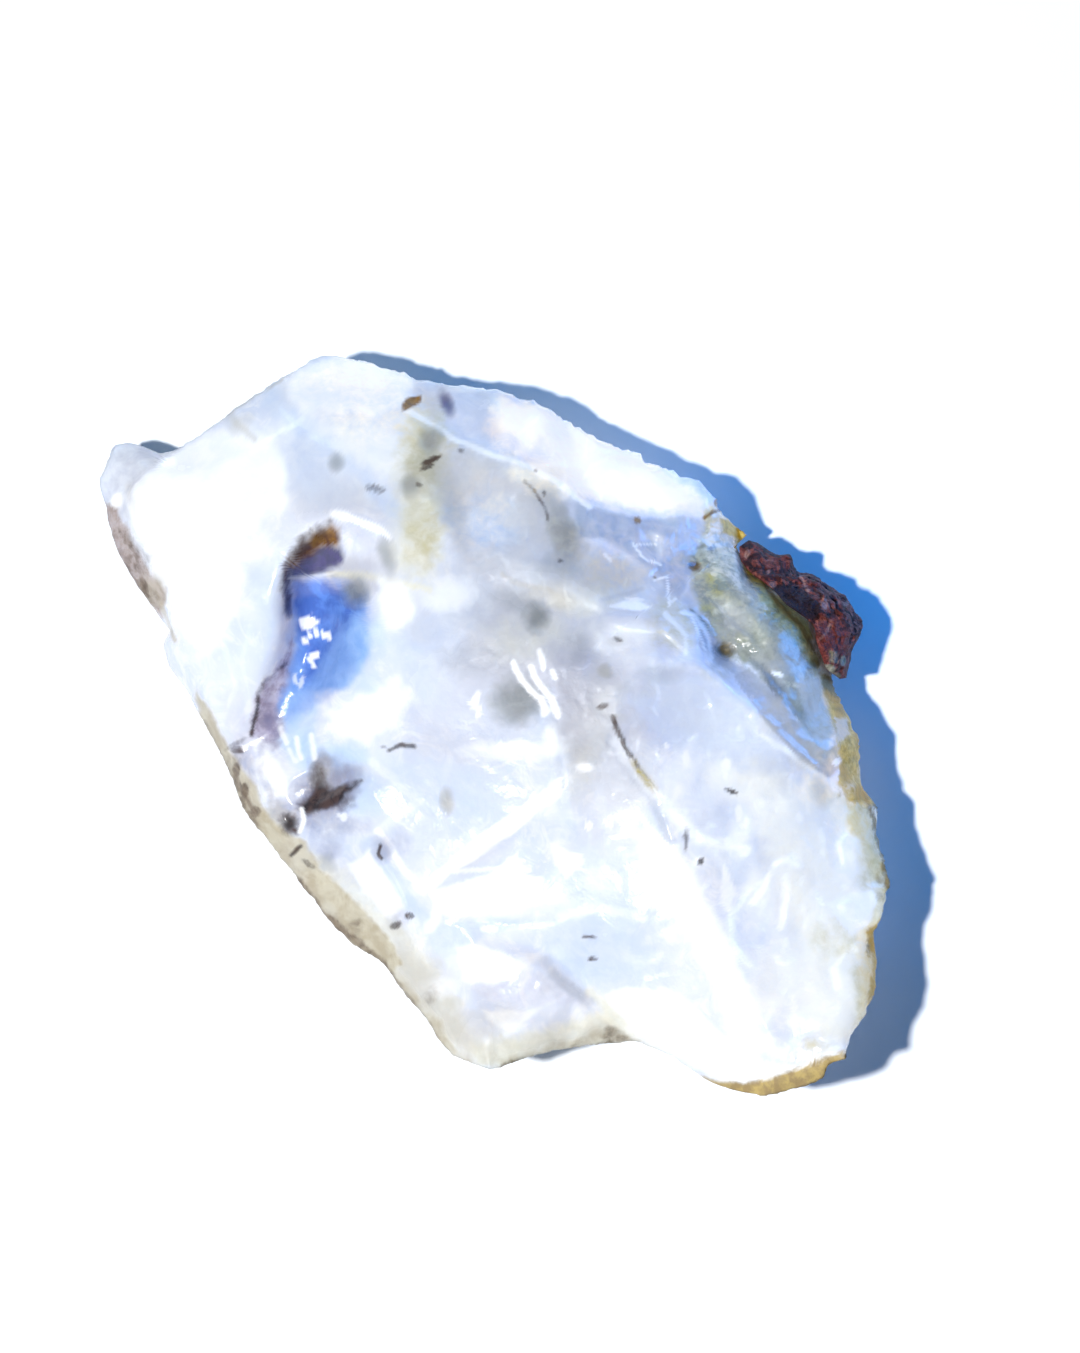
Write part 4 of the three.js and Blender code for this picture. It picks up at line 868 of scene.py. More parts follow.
        (276, 824, 18, 18, 0.35), (606, 578, 36, 20, 0.4), (242, 424, 13, 7, 40, 0.3),
        (559, 600, 13, 9, -20, 0.7), (545, 592, 20, 7, 15, 0.4), (603, 672, 6, 5, 0.4),
        (615, 641, 8, 5, 0.4), (449, 800, 6, 11, 0.6), (564, 540, 16, 22, 20, 0.5), (430, 440, 18, 18, 0.3),
        (414, 484, 16, 18, 0.3), (132, 500, 4, 16, 15, 0.4), (322, 772, 10, 16, 0.6),
        (276, 842, 20, 9, -60, 0.3), (590, 560, 14, 10, 0.3), (640, 690, 12, 8, 0.2),
    ], "lines": [
        ([(228, 412), (240, 426), (256, 440)], 3, 0.4),
        ([(202, 430), (232, 410), (262, 390), (282, 380)], 1.2, 0.6),
        ([(632, 760), (642, 774), (652, 788)], 4, 0.9),
        ([(503, 576), (520, 586), (548, 590), (562, 600)], 2.4, 0.5),
    ]},
    "mauveSkin": {"areas": [
        ([(98, 502), (116, 506), (126, 528), (138, 552), (150, 572), (166, 590), (161, 618), (146, 608),
          (126, 578), (110, 546), (100, 520)], 3, 0.95),
    ]},
    "skin": {"areas": [
        ([(196, 690), (206, 700), (226, 742), (240, 764), (258, 786), (262, 806), (286, 830), (306, 842),
          (322, 868), (346, 890), (372, 916), (396, 944), (402, 962), (392, 972), (340, 950), (300, 900),
          (250, 840), (220, 780), (200, 730)], 3, 0.95),
        ([(376, 948), (392, 962), (412, 986), (436, 1016), (458, 1044), (478, 1060), (470, 1068),
          (440, 1054), (400, 1010), (372, 970)], 6, 0.75),
        ([(500, 1056), (540, 1044), (580, 1036), (608, 1026), (622, 1030), (640, 1041), (600, 1046),
          (560, 1052), (520, 1066), (500, 1068)], 5, 0.7),
    ], "spots": [
        (148, 592, 14, 22, -30, 0.6), (478, 1056, 20, 10, 0.3),
    ], "lines": [
        ([(160, 604), (168, 622), (174, 640)], 2.4, 0.6),
    ]},
    # dark parts of the rind, and painted shade in the notch at the bottom lobe's seam
    "darkSkinAndShade": {"areas": [
        ([(606, 1024), (616, 1026), (638, 1041), (612, 1042), (600, 1036)], 3, 0.5),
    ], "spots": [
        (230, 772, 7, 24, -25, 0.4), (130, 570, 14, 26, -30, 0.35), (128, 540, 5, 6, 0.8),
        (143, 585, 3, 9, 15, 0.95), (148, 596, 8, 8, 0.4), (118, 533, 6, 5, 0.4), (352, 930, 12, 6, 40, 0.5),
        (430, 995, 12, 6, 45, 0.3), (237, 770, 3, 6, 0.9), (246, 790, 3, 6, 0.9), (256, 812, 4, 5, 0.8),
    ], "lines": [
        ([(102, 522), (112, 546), (128, 576), (148, 606)], 2.2, 0.5),
        ([(205, 722), (222, 762), (238, 790)], 2.4, 0.5), ([(240, 800), (262, 836)], 3, 0.6),
        ([(290, 872), (306, 890), (322, 912), (342, 930)], 4, 0.9),
        ([(342, 930), (362, 944), (384, 962), (394, 980)], 3.5, 0.8),
        ([(394, 978), (420, 1012), (446, 1050)], 3, 0.55), ([(236, 776), (242, 790), (254, 812)], 2.6, 0.9),
    ]},
    "clay": {"areas": [
        ([(719, 518), (730, 521), (744, 528), (758, 540), (750, 545), (738, 540), (724, 532)], 2, 0.95),
        ([(818, 672), (842, 680), (848, 706), (860, 722), (868, 755), (872, 790), (884, 812), (862, 802),
          (846, 800), (834, 782), (838, 762), (836, 740), (828, 715)], 2.5, 1.0),
        ([(742, 545), (750, 562), (766, 584), (788, 606), (804, 630), (820, 676), (812, 676), (796, 644),
          (770, 612), (748, 580)], 2.5, 0.35),
    ], "spots": [
        (862, 800, 8, 10, 0.6), (853, 748, 10, 26, 0.6),
    ], "lines": [
        ([(634, 762), (641, 773), (649, 784)], 3, 0.45),
        ([(866, 770), (880, 804), (890, 836), (894, 860)], 4.5, 0.9),
        ([(892, 860), (893, 900), (884, 925)], 3, 0.5),
    ]},
    "paleGrit": {"areas": [
        ([(833, 718), (846, 720), (850, 734), (838, 742), (834, 734)], 2, 0.9),
    ], "spots": [
        (842, 790, 10, 8, 30, 0.6), (862, 770, 4, 8, 0.5), (824, 702, 4, 6, 0.5),
    ]},
    # dark rind along the edges, and painted shadow in the band under the lower left lobe's edge
    "darkRimAndShadow": {"areas": [
        ([(818, 672), (842, 682), (846, 700), (834, 704), (822, 690)], 3, 0.8),
    ], "spots": [
        (725, 650, 7, 6, 0.95), (868, 944, 5, 9, 0.9), (870, 996, 6, 9, 0.9), (842, 772, 4, 9, 20, 0.6),
        (858, 792, 4, 7, 0.6), (869, 934, 4, 8, 0.7), (878, 962, 4, 10, 0.7), (874, 990, 4, 9, 20, 0.6),
        (840, 710, 6, 8, 0.7), (757, 540, 5, 5, 0.8), (812, 664, 8, 5, 40, 0.6),
    ], "lines": [
        ([(862, 788), (874, 826), (882, 860), (885, 886)], 2.6, 0.85),
        ([(846, 700), (856, 730), (863, 764)], 2.2, 0.6),
        # painted shadow: the band under the lower left lobe's edge and, just after, the short gap beside it
        ([(503, 1065), (513, 1061), (531, 1057), (561, 1051), (574, 1048)], 4, 0.95),
        ([(590, 1045), (610, 1042)], 3, 0.8), ([(870, 790), (882, 826), (890, 860), (894, 890)], 2.2, 0.8),
        ([(746, 552), (752, 568), (765, 588), (780, 606), (800, 626), (812, 650)], 2.4, 0.9),
        ([(843, 690), (852, 712), (864, 738), (868, 770)], 1.8, 0.6),
    ]},
    "ochre": {"areas": [
        ([(690, 1072), (715, 1076), (740, 1078), (770, 1072), (800, 1060), (838, 1046), (834, 1064),
          (800, 1086), (764, 1096), (735, 1092), (700, 1082)], 2.5, 1.0),
        ([(866, 926), (880, 918), (886, 950), (880, 1000), (868, 1010), (864, 990), (870, 960)], 4, 0.9),
    ], "spots": [
        (880, 880, 6, 16, 0.5),
    ], "lines": [
        ([(870, 1004), (860, 1030), (838, 1056)], 4, 0.9), ([(884, 905), (872, 930)], 3, 0.6),
        ([(894, 890), (884, 912), (878, 940)], 3.4, 0.9),
    ]},
    "brown": {"areas": [
        ([(334, 523), (312, 530), (297, 543), (287, 560), (283, 582), (284, 614), (290, 612), (290, 584),
          (295, 566), (306, 552), (320, 542), (330, 534)], 3.5, 0.62),
        ([(303, 808), (311, 797), (318, 788), (330, 790), (343, 786), (358, 784), (346, 794), (336, 804),
          (322, 809), (308, 814)], 3, 1.0),
    ], "spots": [
        (290, 824, 8, 10, 20, 1.0), (319, 780, 8, 15, 5, 0.75), (330, 795, 20, 9, -15, 0.9),
        (350, 786, 12, 4, 20, 0.6), (310, 806, 10, 8, 0.7), (411, 914, 4, 3, 0.8), (397, 924, 5, 3, 30, 0.8),
        (693, 567, 5, 4, 1.0), (729, 790, 6, 2, -20, 0.9), (684, 836, 2.2, 9, 0.7), (699, 859, 2.2, 3, 0.9),
        (376, 490, 8, 3.2, -8, 0.6), (432, 461, 9, 2.4, 22, 0.95), (428, 468, 6, 2.2, 22, 0.8),
        (420, 486, 3, 2, 0.6), (588, 934, 6, 1.4, -6, 0.7), (592, 956, 4, 1.4, 0.7),
        (461, 452, 3, 1.6, -10, 0.6), (309, 863, 7, 2.2, -35, 0.6), (385, 746, 3, 1.4, 0.3),
        (544, 494, 1.6, 3, 0.8), (560, 562, 2.4, 1.6, 0.7), (536, 472, 2, 1.6, 0.6),
        (617, 640, 4, 1.8, -20, 0.6), (239, 750, 6, 3, 0.6), (236, 744, 10, 2, 30, 0.4),
        (654, 579, 1.6, 1.8, 0.7), (710, 549, 2, 2, 0.6), (602, 706, 5, 2.2, 20, 0.6),
    ], "lines": [
        ([(391, 749), (402, 745), (415, 746)], 2.2, 0.85), ([(301, 846), (292, 854)], 2.2, 0.95),
        ([(381, 844), (379, 852), (383, 857)], 1.6, 0.95),
        ([(286, 664), (276, 672), (266, 682), (259, 694)], 1.8, 0.4),
        ([(611, 716), (616, 728), (622, 742), (629, 754)], 2.2, 0.9), ([(629, 754), (636, 764)], 2.2, 0.6),
        ([(704, 518), (712, 513), (720, 509)], 1.6, 0.9), ([(260, 697), (257, 715), (252, 735)], 1.8, 0.9),
        ([(524, 482), (534, 492), (544, 508), (548, 520)], 1.5, 0.55), ([(357, 782), (363, 780)], 1.4, 0.5),
    ]},
    # painted glow: warm emission that lifts shaded faces, standing in for light from the bright side coming
    # back out
    "glow": {"areas": [
        ([(852, 918), (884, 916), (885, 960), (876, 1008), (858, 1008), (856, 960)], 4, 0.4),
        ([(498, 394), (530, 398), (575, 420), (625, 440), (668, 470), (704, 498), (700, 516), (640, 512),
          (590, 504), (560, 486), (530, 470), (500, 452), (484, 430)], 8, 0.9),
        ([(822, 690), (846, 700), (860, 730), (868, 760), (878, 800), (860, 806), (836, 796), (824, 770),
          (830, 730)], 5, 0.7),
    ], "spots": [
        (724, 526, 22, 18, 0.3), (374, 374, 40, 18, 0.6), (376, 420, 40, 22, 0.3), (724, 526, 22, 18, 0.4),
        (376, 402, 40, 26, 0.25), (734, 524, 14, 14, 0.55), (650, 470, 30, 14, -30, 0.5),
        (540, 484, 26, 12, -20, 0.5), (640, 560, 60, 30, -20, 0.25), (480, 520, 30, 34, 0.25),
        (350, 372, 50, 12, 10, 0.4), (825, 780, 26, 22, 0.4), (850, 815, 20, 34, 0.3),
        (725, 575, 30, 30, 0.2),
    ]},
    # yellowed edge of the right side, and yellow spots painted to cancel the blue of the fill lamps
    "straw": {"areas": [
        ([(844, 796), (866, 798), (884, 836), (890, 880), (880, 902), (868, 872), (858, 842),
          (846, 816)], 6, 0.85),
        ([(866, 900), (886, 900), (884, 960), (874, 1010), (856, 1034), (850, 1004), (862, 950)], 7, 0.6),
        ([(818, 690), (834, 704), (848, 740), (846, 768), (826, 752), (812, 716)], 6, 0.6),
    ], "spots": [
        (425, 446, 22, 36, 0.55), (425, 532, 18, 32, 0.5), (724, 526, 20, 16, 0.4), (822, 690, 18, 26, 0.4),
        (824, 736, 18, 34, -20, 0.5), (872, 880, 14, 40, 0.5), (866, 980, 14, 34, 0.6),
        (425, 460, 24, 24, 0.25), (675, 625, 22, 22, 0.2), (805, 690, 10, 36, -15, 0.6),
        (675, 625, 24, 26, 0.25), (268, 828, 16, 22, -30, 0.45), (809, 1042, 12, 9, 0.45),
        (836, 936, 26, 16, 0.35), (740, 530, 16, 14, 0.7), (722, 514, 14, 10, 0.6),
        (815, 726, 22, 34, -20, 0.5), (718, 668, 16, 14, 0.25), (726, 530, 22, 14, -30, 0.5),
        (675, 625, 22, 24, 0.25), (600, 578, 34, 18, 0.25), (830, 680, 10, 10, 0.5),
    ], "lines": [
        ([(756, 704), (776, 726), (800, 752), (815, 768)], 5, 0.5),
    ]},
    # duller places, where the light leaves no sharp reflection
    "matte": {"spots": [
        (586, 730, 34, 14, -20, 1.0), (562, 750, 8, 20, 1.0), (733, 608, 16, 12, 1.0),
        (750, 628, 14, 14, 1.0), (778, 672, 12, 10, 1.0), (325, 527, 20, 8, -20, 1.0),
        (478, 1048, 12, 24, 1.0), (515, 690, 76, 36, 1.0), (620, 750, 16, 30, 0.8),
        (540, 592, 44, 13, -10, 1.0), (468, 690, 34, 16, 1.0), (538, 712, 16, 8, 0.8),
        (604, 706, 12, 9, 1.0), (270, 745, 16, 8, 30, 0.6),
    ]},
    # painted highlights: white glints laid into the colour
    "glint": {"areas": [
        ([(299, 620), (306, 617), (318, 619), (322, 622), (314, 626), (308, 631), (302, 628)], 1, 1.0),
    ], "spots": [
        (317, 633, 2.2, 4, 20, 1.0), (324, 635, 2, 4, 20, 1.0), (330, 636, 2, 4, 20, 1.0),
        (305, 641, 3, 2.4, 1.0), (310, 636, 2, 2, 1.0), (313, 657, 5, 3, 40, 1.0), (318, 654, 2, 3, 1.0),
        (314, 666, 2.4, 2.4, 0.9), (296, 679, 2, 5, 10, 0.6), (302, 682, 2, 6, -20, 0.5),
        (476, 700, 3, 8, -20, 1.0), (479, 711, 2.4, 6, -10, 0.7), (584, 766, 8, 4, 1.0),
        (588, 823, 3.4, 4, 1.0), (553, 704, 3, 7, 1.0), (557, 712, 3, 5, 0.9), (684, 759, 3.6, 8, 1.0),
        (723, 764, 3.6, 6, 1.0), (736, 811, 3, 7, 1.0), (742, 822, 3, 4, 0.8), (759, 803, 2.4, 4, 0.8),
        (796, 816, 2.8, 4, 1.0), (819, 834, 2.4, 6, 15, 1.0), (834, 761, 3.2, 3.2, 1.0),
        (116, 500, 5.5, 6.5, 1.0), (345, 816, 3, 4, 0.6), (340, 814, 2, 2, 0.5), (490, 927, 7, 2.6, 0.9),
        (848, 855, 4, 5, 0.9), (822, 668, 4, 5, 0.6), (776, 674, 5, 2, -20, 0.8), (370, 392, 4, 2, 0.4),
        (842, 885, 3, 3, 0.7), (790, 1000, 3, 8, 10, 0.6), (655, 897, 4, 5, 0.6),
        (634, 600, 8, 1.6, -6, 0.6), (664, 745, 2.4, 3, 0.8),
    ], "lines": [
        ([(281, 727), (287, 743)], 2.4, 0.6), ([(297, 738), (301, 757)], 2.6, 0.7),
        ([(312, 735), (315, 758)], 2.6, 0.7), ([(290, 749), (296, 760)], 2.2, 0.5),
        ([(303, 809), (305, 820), (300, 831)], 2, 0.95), ([(290, 579), (312, 577), (334, 574)], 1.3, 0.35),
        ([(632, 544), (643, 559), (660, 566)], 1.1, 0.8), ([(653, 581), (666, 577), (668, 607)], 1.1, 0.8),
        ([(679, 613), (690, 616), (699, 637), (709, 663)], 1.2, 0.85), ([(636, 545), (655, 545)], 1, 0.6),
        ([(514, 664), (523, 680), (536, 696)], 3, 1.0), ([(531, 668), (538, 682), (552, 700)], 2.8, 1.0),
        ([(540, 652), (544, 668)], 2.6, 0.9), ([(541, 699), (544, 712)], 3.4, 1.0),
        ([(553, 672), (555, 678)], 2.4, 0.9), ([(336, 516), (346, 518)], 4, 1.0),
        ([(344, 517), (362, 523), (380, 530), (390, 538)], 2.2, 0.9),
        ([(772, 862), (785, 858), (797, 864)], 2.4, 1.0), ([(766, 873), (760, 886), (750, 900)], 3, 1.0),
        ([(783, 874), (780, 900), (777, 925)], 2.8, 1.0), ([(640, 815), (652, 832), (664, 842)], 2.4, 0.8),
        ([(604, 555), (610, 562)], 1.5, 0.5), ([(499, 748), (520, 744), (532, 748)], 4, 0.9),
        ([(668, 604), (674, 600)], 1.4, 0.6), ([(800, 905), (803, 915), (801, 925)], 2, 0.8),
    ]},
}


def spotCover(field, halfA, halfB):
    # small spots end sharply, wide ones fade from their middle like a bell
    sharpSize, softSize = 3.5, 8.0    # pixels
    sharp = smoothStep(0, 0.7, field)
    bell = np.exp(-2.2 * (1 - field) ** 1.5) * smoothStep(0, 0.25, field)
    wideness = smoothStep(sharpSize, softSize, np.array(math.sqrt(halfA * halfB)))
    return sharp * (1 - wideness) + bell * wideness


def paintMasks(shapesOf, u, v):
    # each layer: one less the product of what its shapes leave free, their edges wandering with noise
    coarse, fine = (2.4, 4), (0.5, 3)    # size in mm and octaves of the noises
    broadU, broadV = cloudNoise(u, v, coarse[0], 31, coarse[1]), cloudNoise(u, v, coarse[0], 37, coarse[1])
    fineU, fineV = cloudNoise(u, v, fine[0], 41, fine[1]), cloudNoise(u, v, fine[0], 47, fine[1])
    perMm = view["pixelsPerMm"]
    masks = {}
    for name, shapes in shapesOf.items():
        free = np.ones(u.shape)

        def cover(places, margin, sway, measure, strength):
            # only the vertices near a shape are measured
            held = seen(places).reshape(-1, 2)
            low, high = held.min(0) - margin, held.max(0) + margin
            near = (u > low[0]) & (u < high[0]) & (v > low[1]) & (v < high[1])
            pu = u[near] + sway * (0.6 * broadU[near] + fineU[near])
            pv = v[near] + sway * (0.6 * broadV[near] + fineV[near])
            free[near] *= 1 - strength * measure(pu, pv)

        for area, soft, strength in shapes.get("areas", ()):
            soft = soft / perMm
            around = [tuple(q) for q in seen(area)]
            cover(area, soft + 0.5, min(0.4, 0.06 + 0.5 * soft),
                  lambda pu, pv: smoothStep(-soft, soft, areaField(around, pu, pv)), strength)
        for x, y, halfA, halfB, *turned, strength in shapes.get("spots", ()):
            turn = turned[0] if turned else 0
            a, b = halfA / perMm, halfB / perMm
            reach = (1.5 * a, 1.5 * b)
            cover((x, y), 1.6 * max(a, b) + 0.5, min(0.5, 0.35 * min(a, b)),
                  lambda pu, pv: spotCover(ovalField(seen((x, y)), reach, turn, pu, pv), halfA, halfB),
                  strength)
        for line, half, strength in shapes.get("lines", ()):
            half = half / perMm
            cover(line, 2 * half + 0.4, min(0.35, 0.6 * half),
                  lambda pu, pv: smoothStep(half * 1.7, half * 0.4, lineField(seen(line), pu, pv)[0]),
                  strength)
        masks[name] = 1 - free
    return masks


def squareToStone(count):
    # a square grid squeezed to a disc: how far out each point lies, and in which direction
    a, b = np.meshgrid(np.linspace(-1, 1, count + 1), np.linspace(-1, 1, count + 1))
    flat = np.abs(a) > np.abs(b)
    radius = np.maximum(np.abs(a), np.abs(b))
    over = np.where(flat, np.where(a == 0, 1, a), np.where(b == 0, 1, b))
    sideways = np.where(a < 0, math.pi, 0) + math.pi / 4 * b / over
    upright = np.where(b < 0, -math.pi / 2, math.pi / 2) - math.pi / 4 * a / over
    angle = np.where(flat, sideways, upright)
    return radius, np.arctan2(np.sin(angle), np.cos(angle))


def addMesh(name, points, quads, masks=None):
    # a smooth-shaded mesh object from whole arrays, its masks kept on the vertices
    mesh = bpy.data.meshes.new(name)
    mesh.from_pydata(points.tolist(), [], [list(q) for q in quads])
    mesh.validate()
    mesh.polygons.foreach_set("use_smooth", np.ones(len(mesh.polygons), bool))
    for key, values in (masks or {}).items():
        layer = mesh.attributes.new(key, "FLOAT", "POINT")
        layer.data.foreach_set("value", np.ascontiguousarray(values, np.float32))
    mesh.update()
    piece = bpy.data.objects.new(name, mesh)
    bpy.context.scene.collection.objects.link(piece)
    return piece


def rimLift(angle):
    # how far the underside of a lobe stays clear of the table in each direction
    total = np.zeros(angle.shape)
    for direction, lift, spread in opalShape["liftedLobes"]:
        off = np.arctan2(np.sin(angle - direction), np.cos(angle - direction))
        total += lift * np.exp(-(off / spread) ** 2)
    return total


def makeOpal():
    # upper sheet: radius times the outline's reach, height from the map; below it, rings run in to the rest
    count = opalShape["cellsAcross"]
    radius, angle = squareToStone(count)
    reach, rimHeight = (values.reshape(angle.shape) for values in rimAt(angle.ravel()))
    rimU, rimV = reach * np.cos(angle), reach * np.sin(angle)
    chips = 0.5 + 0.5 * cloudNoise(rimU, rimV, 0.7, 61) + 0.35 * np.abs(latticeNoise(rimU, rimV, 0.3, 67))
    allRound, upperRight = opalShape["rimChips"]
    broken = allRound + upperRight * smoothStep(-2, 6, rimU + 0.7 * rimV)
    notch = 1 - radius ** opalShape["rimFalloff"] * broken * chips / reach
    u, v = radius * rimU * notch, radius * rimV * notch
    atRim = smoothStep(opalShape["rimShare"], 1.0, radius)
    z = sampleMap(heights, u, v) * (1 - atRim) + rimHeight * atRim
    rough = paintMasks(paint, u, v)
    where = {
        "everywhere": 1.0,
        "rightSide": smoothStep(-3, 7, u + 0.5 * v),
        "skins": np.clip(rough["skin"] + rough["clay"] + rough["ochre"] + rough["darkRimAndShadow"], 0, 1),
        "slate": rough["slate"],
        "mossy": rough["mossy"],
    }
    for place, high, size, tilt, seed in opalShape["fineBreaks"]:
        breaks = cloudNoise(u, v, size, seed) if tilt is None else brokenFacets(u, v, size, tilt, seed)
        z = z + (1 - atRim) * high * where[place] * breaks
    top = stand(u, v, z).reshape(-1, 3)
    index = np.arange((count + 1) ** 2).reshape(count + 1, count + 1)
    quads = np.stack([index[:-1, :-1], index[:-1, 1:], index[1:, 1:], index[1:, :-1]], -1).reshape(-1, 4)
    ring = np.concatenate([index[0, :-1], index[:-1, -1], index[-1, :0:-1], index[:0:-1, 0]])
    ringU, ringV, ringZ, ringAngle = (values.ravel()[ring] for values in (u, v, z, angle))
    shares = np.array(opalShape["underRings"])
    way = np.linspace(0, len(shares) - 1, (len(shares) - 1) * opalShape["ringSteps"] + 1)[1:]
    outs, ups = (np.interp(way, range(len(shares)), column) for column in shares.T)
    rings, points, total = [ring], [top], len(top)
    lift = rimLift(ringAngle)
    grainSize, grainDepth = opalShape["wallGrain"]
    for out, up in zip(outs, ups):
        lumps = opalShape["chipWobble"] * (np.sin(7 * ringAngle + 1) + 0.7 * np.sin(17 * ringAngle + 9 * out))
        climb = np.minimum(0.95, up + (1 - up) * lift + lumps * up) if up > 0 else np.zeros(ringU.shape)
        lower = np.stack([out * ringU, out * ringV, ringZ * climb], -1)
        nearTop = min(1, 3 * up)
        grain = solidNoise(lower, grainSize, 83) * nearTop
        lower[:, :2] *= 1 - grainDepth * (1 + grain[:, None]) * nearTop
        points.append(stand(lower[:, 0], lower[:, 1], lower[:, 2]))
        rings.append(total + np.arange(len(ring)))
        total += len(ring)
    for outer, inner in zip(rings[:-1], rings[1:]):
        quads = np.concatenate([quads, np.stack([outer, inner, np.roll(inner, -1), np.roll(outer, -1)], -1)])
    points.append(stand(np.zeros(1), np.zeros(1), np.zeros(1)))
    last = rings[-1]
    fan = np.stack([np.full(len(last), total), np.roll(last, -1), last], -1)
    faces = [tuple(f) for f in quads.tolist() + fan.tolist()]
    below = np.concatenate([np.stack([out * ringU, out * ringV], -1) for out in outs] + [np.zeros((1, 2))])
    masks = paintMasks(paint, np.append(u.ravel(), below[:, 0]), np.append(v.ravel(), below[:, 1]))
    # the painted highlights stay off the underside
    masks["glint"][len(top):] = 0
    return addMesh("milkOpal", np.concatenate(points), faces, masks)


hostShape = {
    "path": [
        ((12.25, 8.75, 6.1), (12.75, 9.1, 5.5)), ((12.3, 8.05, 6.8), (13.4, 8.85, 5.3)),
        ((12.85, 7.35, 7.4), (14.15, 8.35, 4.8)), ((13.4, 6.95, 7.9), (14.8, 8.3, 4.6)),
        ((13.95, 6.5, 8.4), (15.2, 7.5, 4.7)), ((14.5, 5.85, 9.0), (16.05, 7.35, 4.7)),
        ((15.2, 5.35, 9.1), (17.2, 6.55, 4.8)), ((15.85, 4.8, 9.0), (18.05, 5.45, 4.9)),
        ((16.0, 4.05, 9.2), (18.4, 4.7, 5.2)), ((16.25, 3.3, 9.0), (17.95, 3.7, 5.2)),
        ((16.55, 2.65, 8.1), (17.75, 3.0, 5.5)), ((17.25, 2.15, 6.4), (17.6, 2.2, 5.6)),
    ],
    # share of the way out, added mm, share of the fall, share of the height, lumpiness
    "section": [
        (0.0, 0.05, 0.0, 1.0, 0.0), (0.18, 0.05, 0.02, 1.0, 0.8), (0.35, 0.05, 0.08, 1.0, 1.0),
        (0.6, 0.05, 0.3, 1.0, 1.0), (0.85, 0.0, 0.62, 1.0, 1.0), (1.0, 0.0, 1.0, 1.0, 0.6),
        (0.96, 0.0, 1.0, 0.72, 0.6), (0.82, 0.06, 1.0, 0.45, 0.1), (0.36, 0.35, 1.0, 0.42, 0.0),
        (0.36, 0.35, 1.0, 0.75, 0.0), (0.16, 0.2, 0.4, 0.94, 0.0),
    ],
    "stations": 300,
    "around": 120,
    "seatWidth": 1.5,
    "lumps": 0.9,
    "chunks": 0.5,
    "grain": 0.38,
}

# what is laid into the host rock, in the same terms as for the opal
hostPaint = {
    "navy": {"areas": [
        ([(772, 586), (790, 585), (806, 592), (818, 600), (822, 612), (812, 621), (800, 617), (786, 606),
          (776, 598)], 2, 1.0), ([(800, 622), (812, 626), (812, 640), (806, 634)], 1.5, 0.7),
    ], "spots": [
        (768, 574, 6, 4, 30, 0.9), (783, 573, 5, 4, 0.8), (756, 556, 5, 3, 30, 0.7), (747, 545, 4, 4, 0.8),
        (848, 622, 4, 4, 0.5), (826, 650, 4, 4, 0.4), (776, 606, 4, 3, 0.8), (760, 568, 4, 4, 0.7),
    ], "lines": [
        ([(741, 543), (748, 540), (756, 542), (767, 552), (778, 557)], 1.4, 0.7),
        ([(796, 568), (798, 576), (792, 580)], 1.6, 0.8), ([(854, 616), (861, 626), (858, 638)], 1.4, 0.6),
        ([(818, 676), (826, 680), (840, 680)], 2.4, 0.8), ([(746, 562), (770, 584), (784, 606)], 1.4, 0.6),
    ]},
    "scarlet": {"areas": [
        ([(812, 640), (832, 628), (850, 632), (852, 646), (846, 658), (832, 652), (824, 664),
          (814, 660)], 3, 0.8),
    ], "spots": [
        (836, 600, 12, 8, 40, 0.5), (818, 586, 8, 5, 0.5), (824, 664, 6, 4, 0.8), (760, 548, 8, 4, 30, 0.3),
        (842, 668, 3, 6, 0.7),
    ]},
    "vein": {"spots": [
        (824, 604, 2.6, 4.6, 1.0), (747, 554, 2.4, 4, -20, 0.8), (772, 585, 3, 2.6, 0.6),
        (838, 602, 2.4, 2, 0.6), (768, 572, 1.6, 1.6, 0.7), (828, 628, 4, 2, 60, 0.4), (846, 604, 2, 2, 0.5),
    ], "lines": [
        ([(800, 576), (804, 584), (808, 592)], 1.3, 0.9), ([(818, 640), (826, 632), (830, 620)], 1, 0.5),
        ([(812, 592), (824, 600), (836, 614)], 0.8, 0.3),
    ]},
    "crystal": {"areas": [
        ([(828, 650), (836, 652), (836, 664), (828, 662)], 1.6, 0.6),
    ], "spots": [
        (827, 669, 5, 4, 1.0), (842, 661, 2.6, 4.4, 0.8), (834, 676, 5, 3, 0.5),
    ]},
}


def throughPoints(points, count):
    # a smooth curve through all points, sampled evenly in its parameter
    points = np.asarray(points, float)
    padded = np.concatenate([2 * points[:1] - points[1:2], points, 2 * points[-1:] - points[-2:-1]])
    way = np.linspace(0, len(points) - 1, count)
    i = np.minimum(way.astype(int), len(points) - 2)
    t = (way - i)[:, None]
    a, b, c, d = padded[i], padded[i + 1], padded[i + 2], padded[i + 3]
    square, cube = 2 * a - 5 * b + 4 * c - d, 3 * b - a - 3 * c + d
    return 0.5 * (2 * b + (c - a) * t + square * t ** 2 + cube * t ** 3)


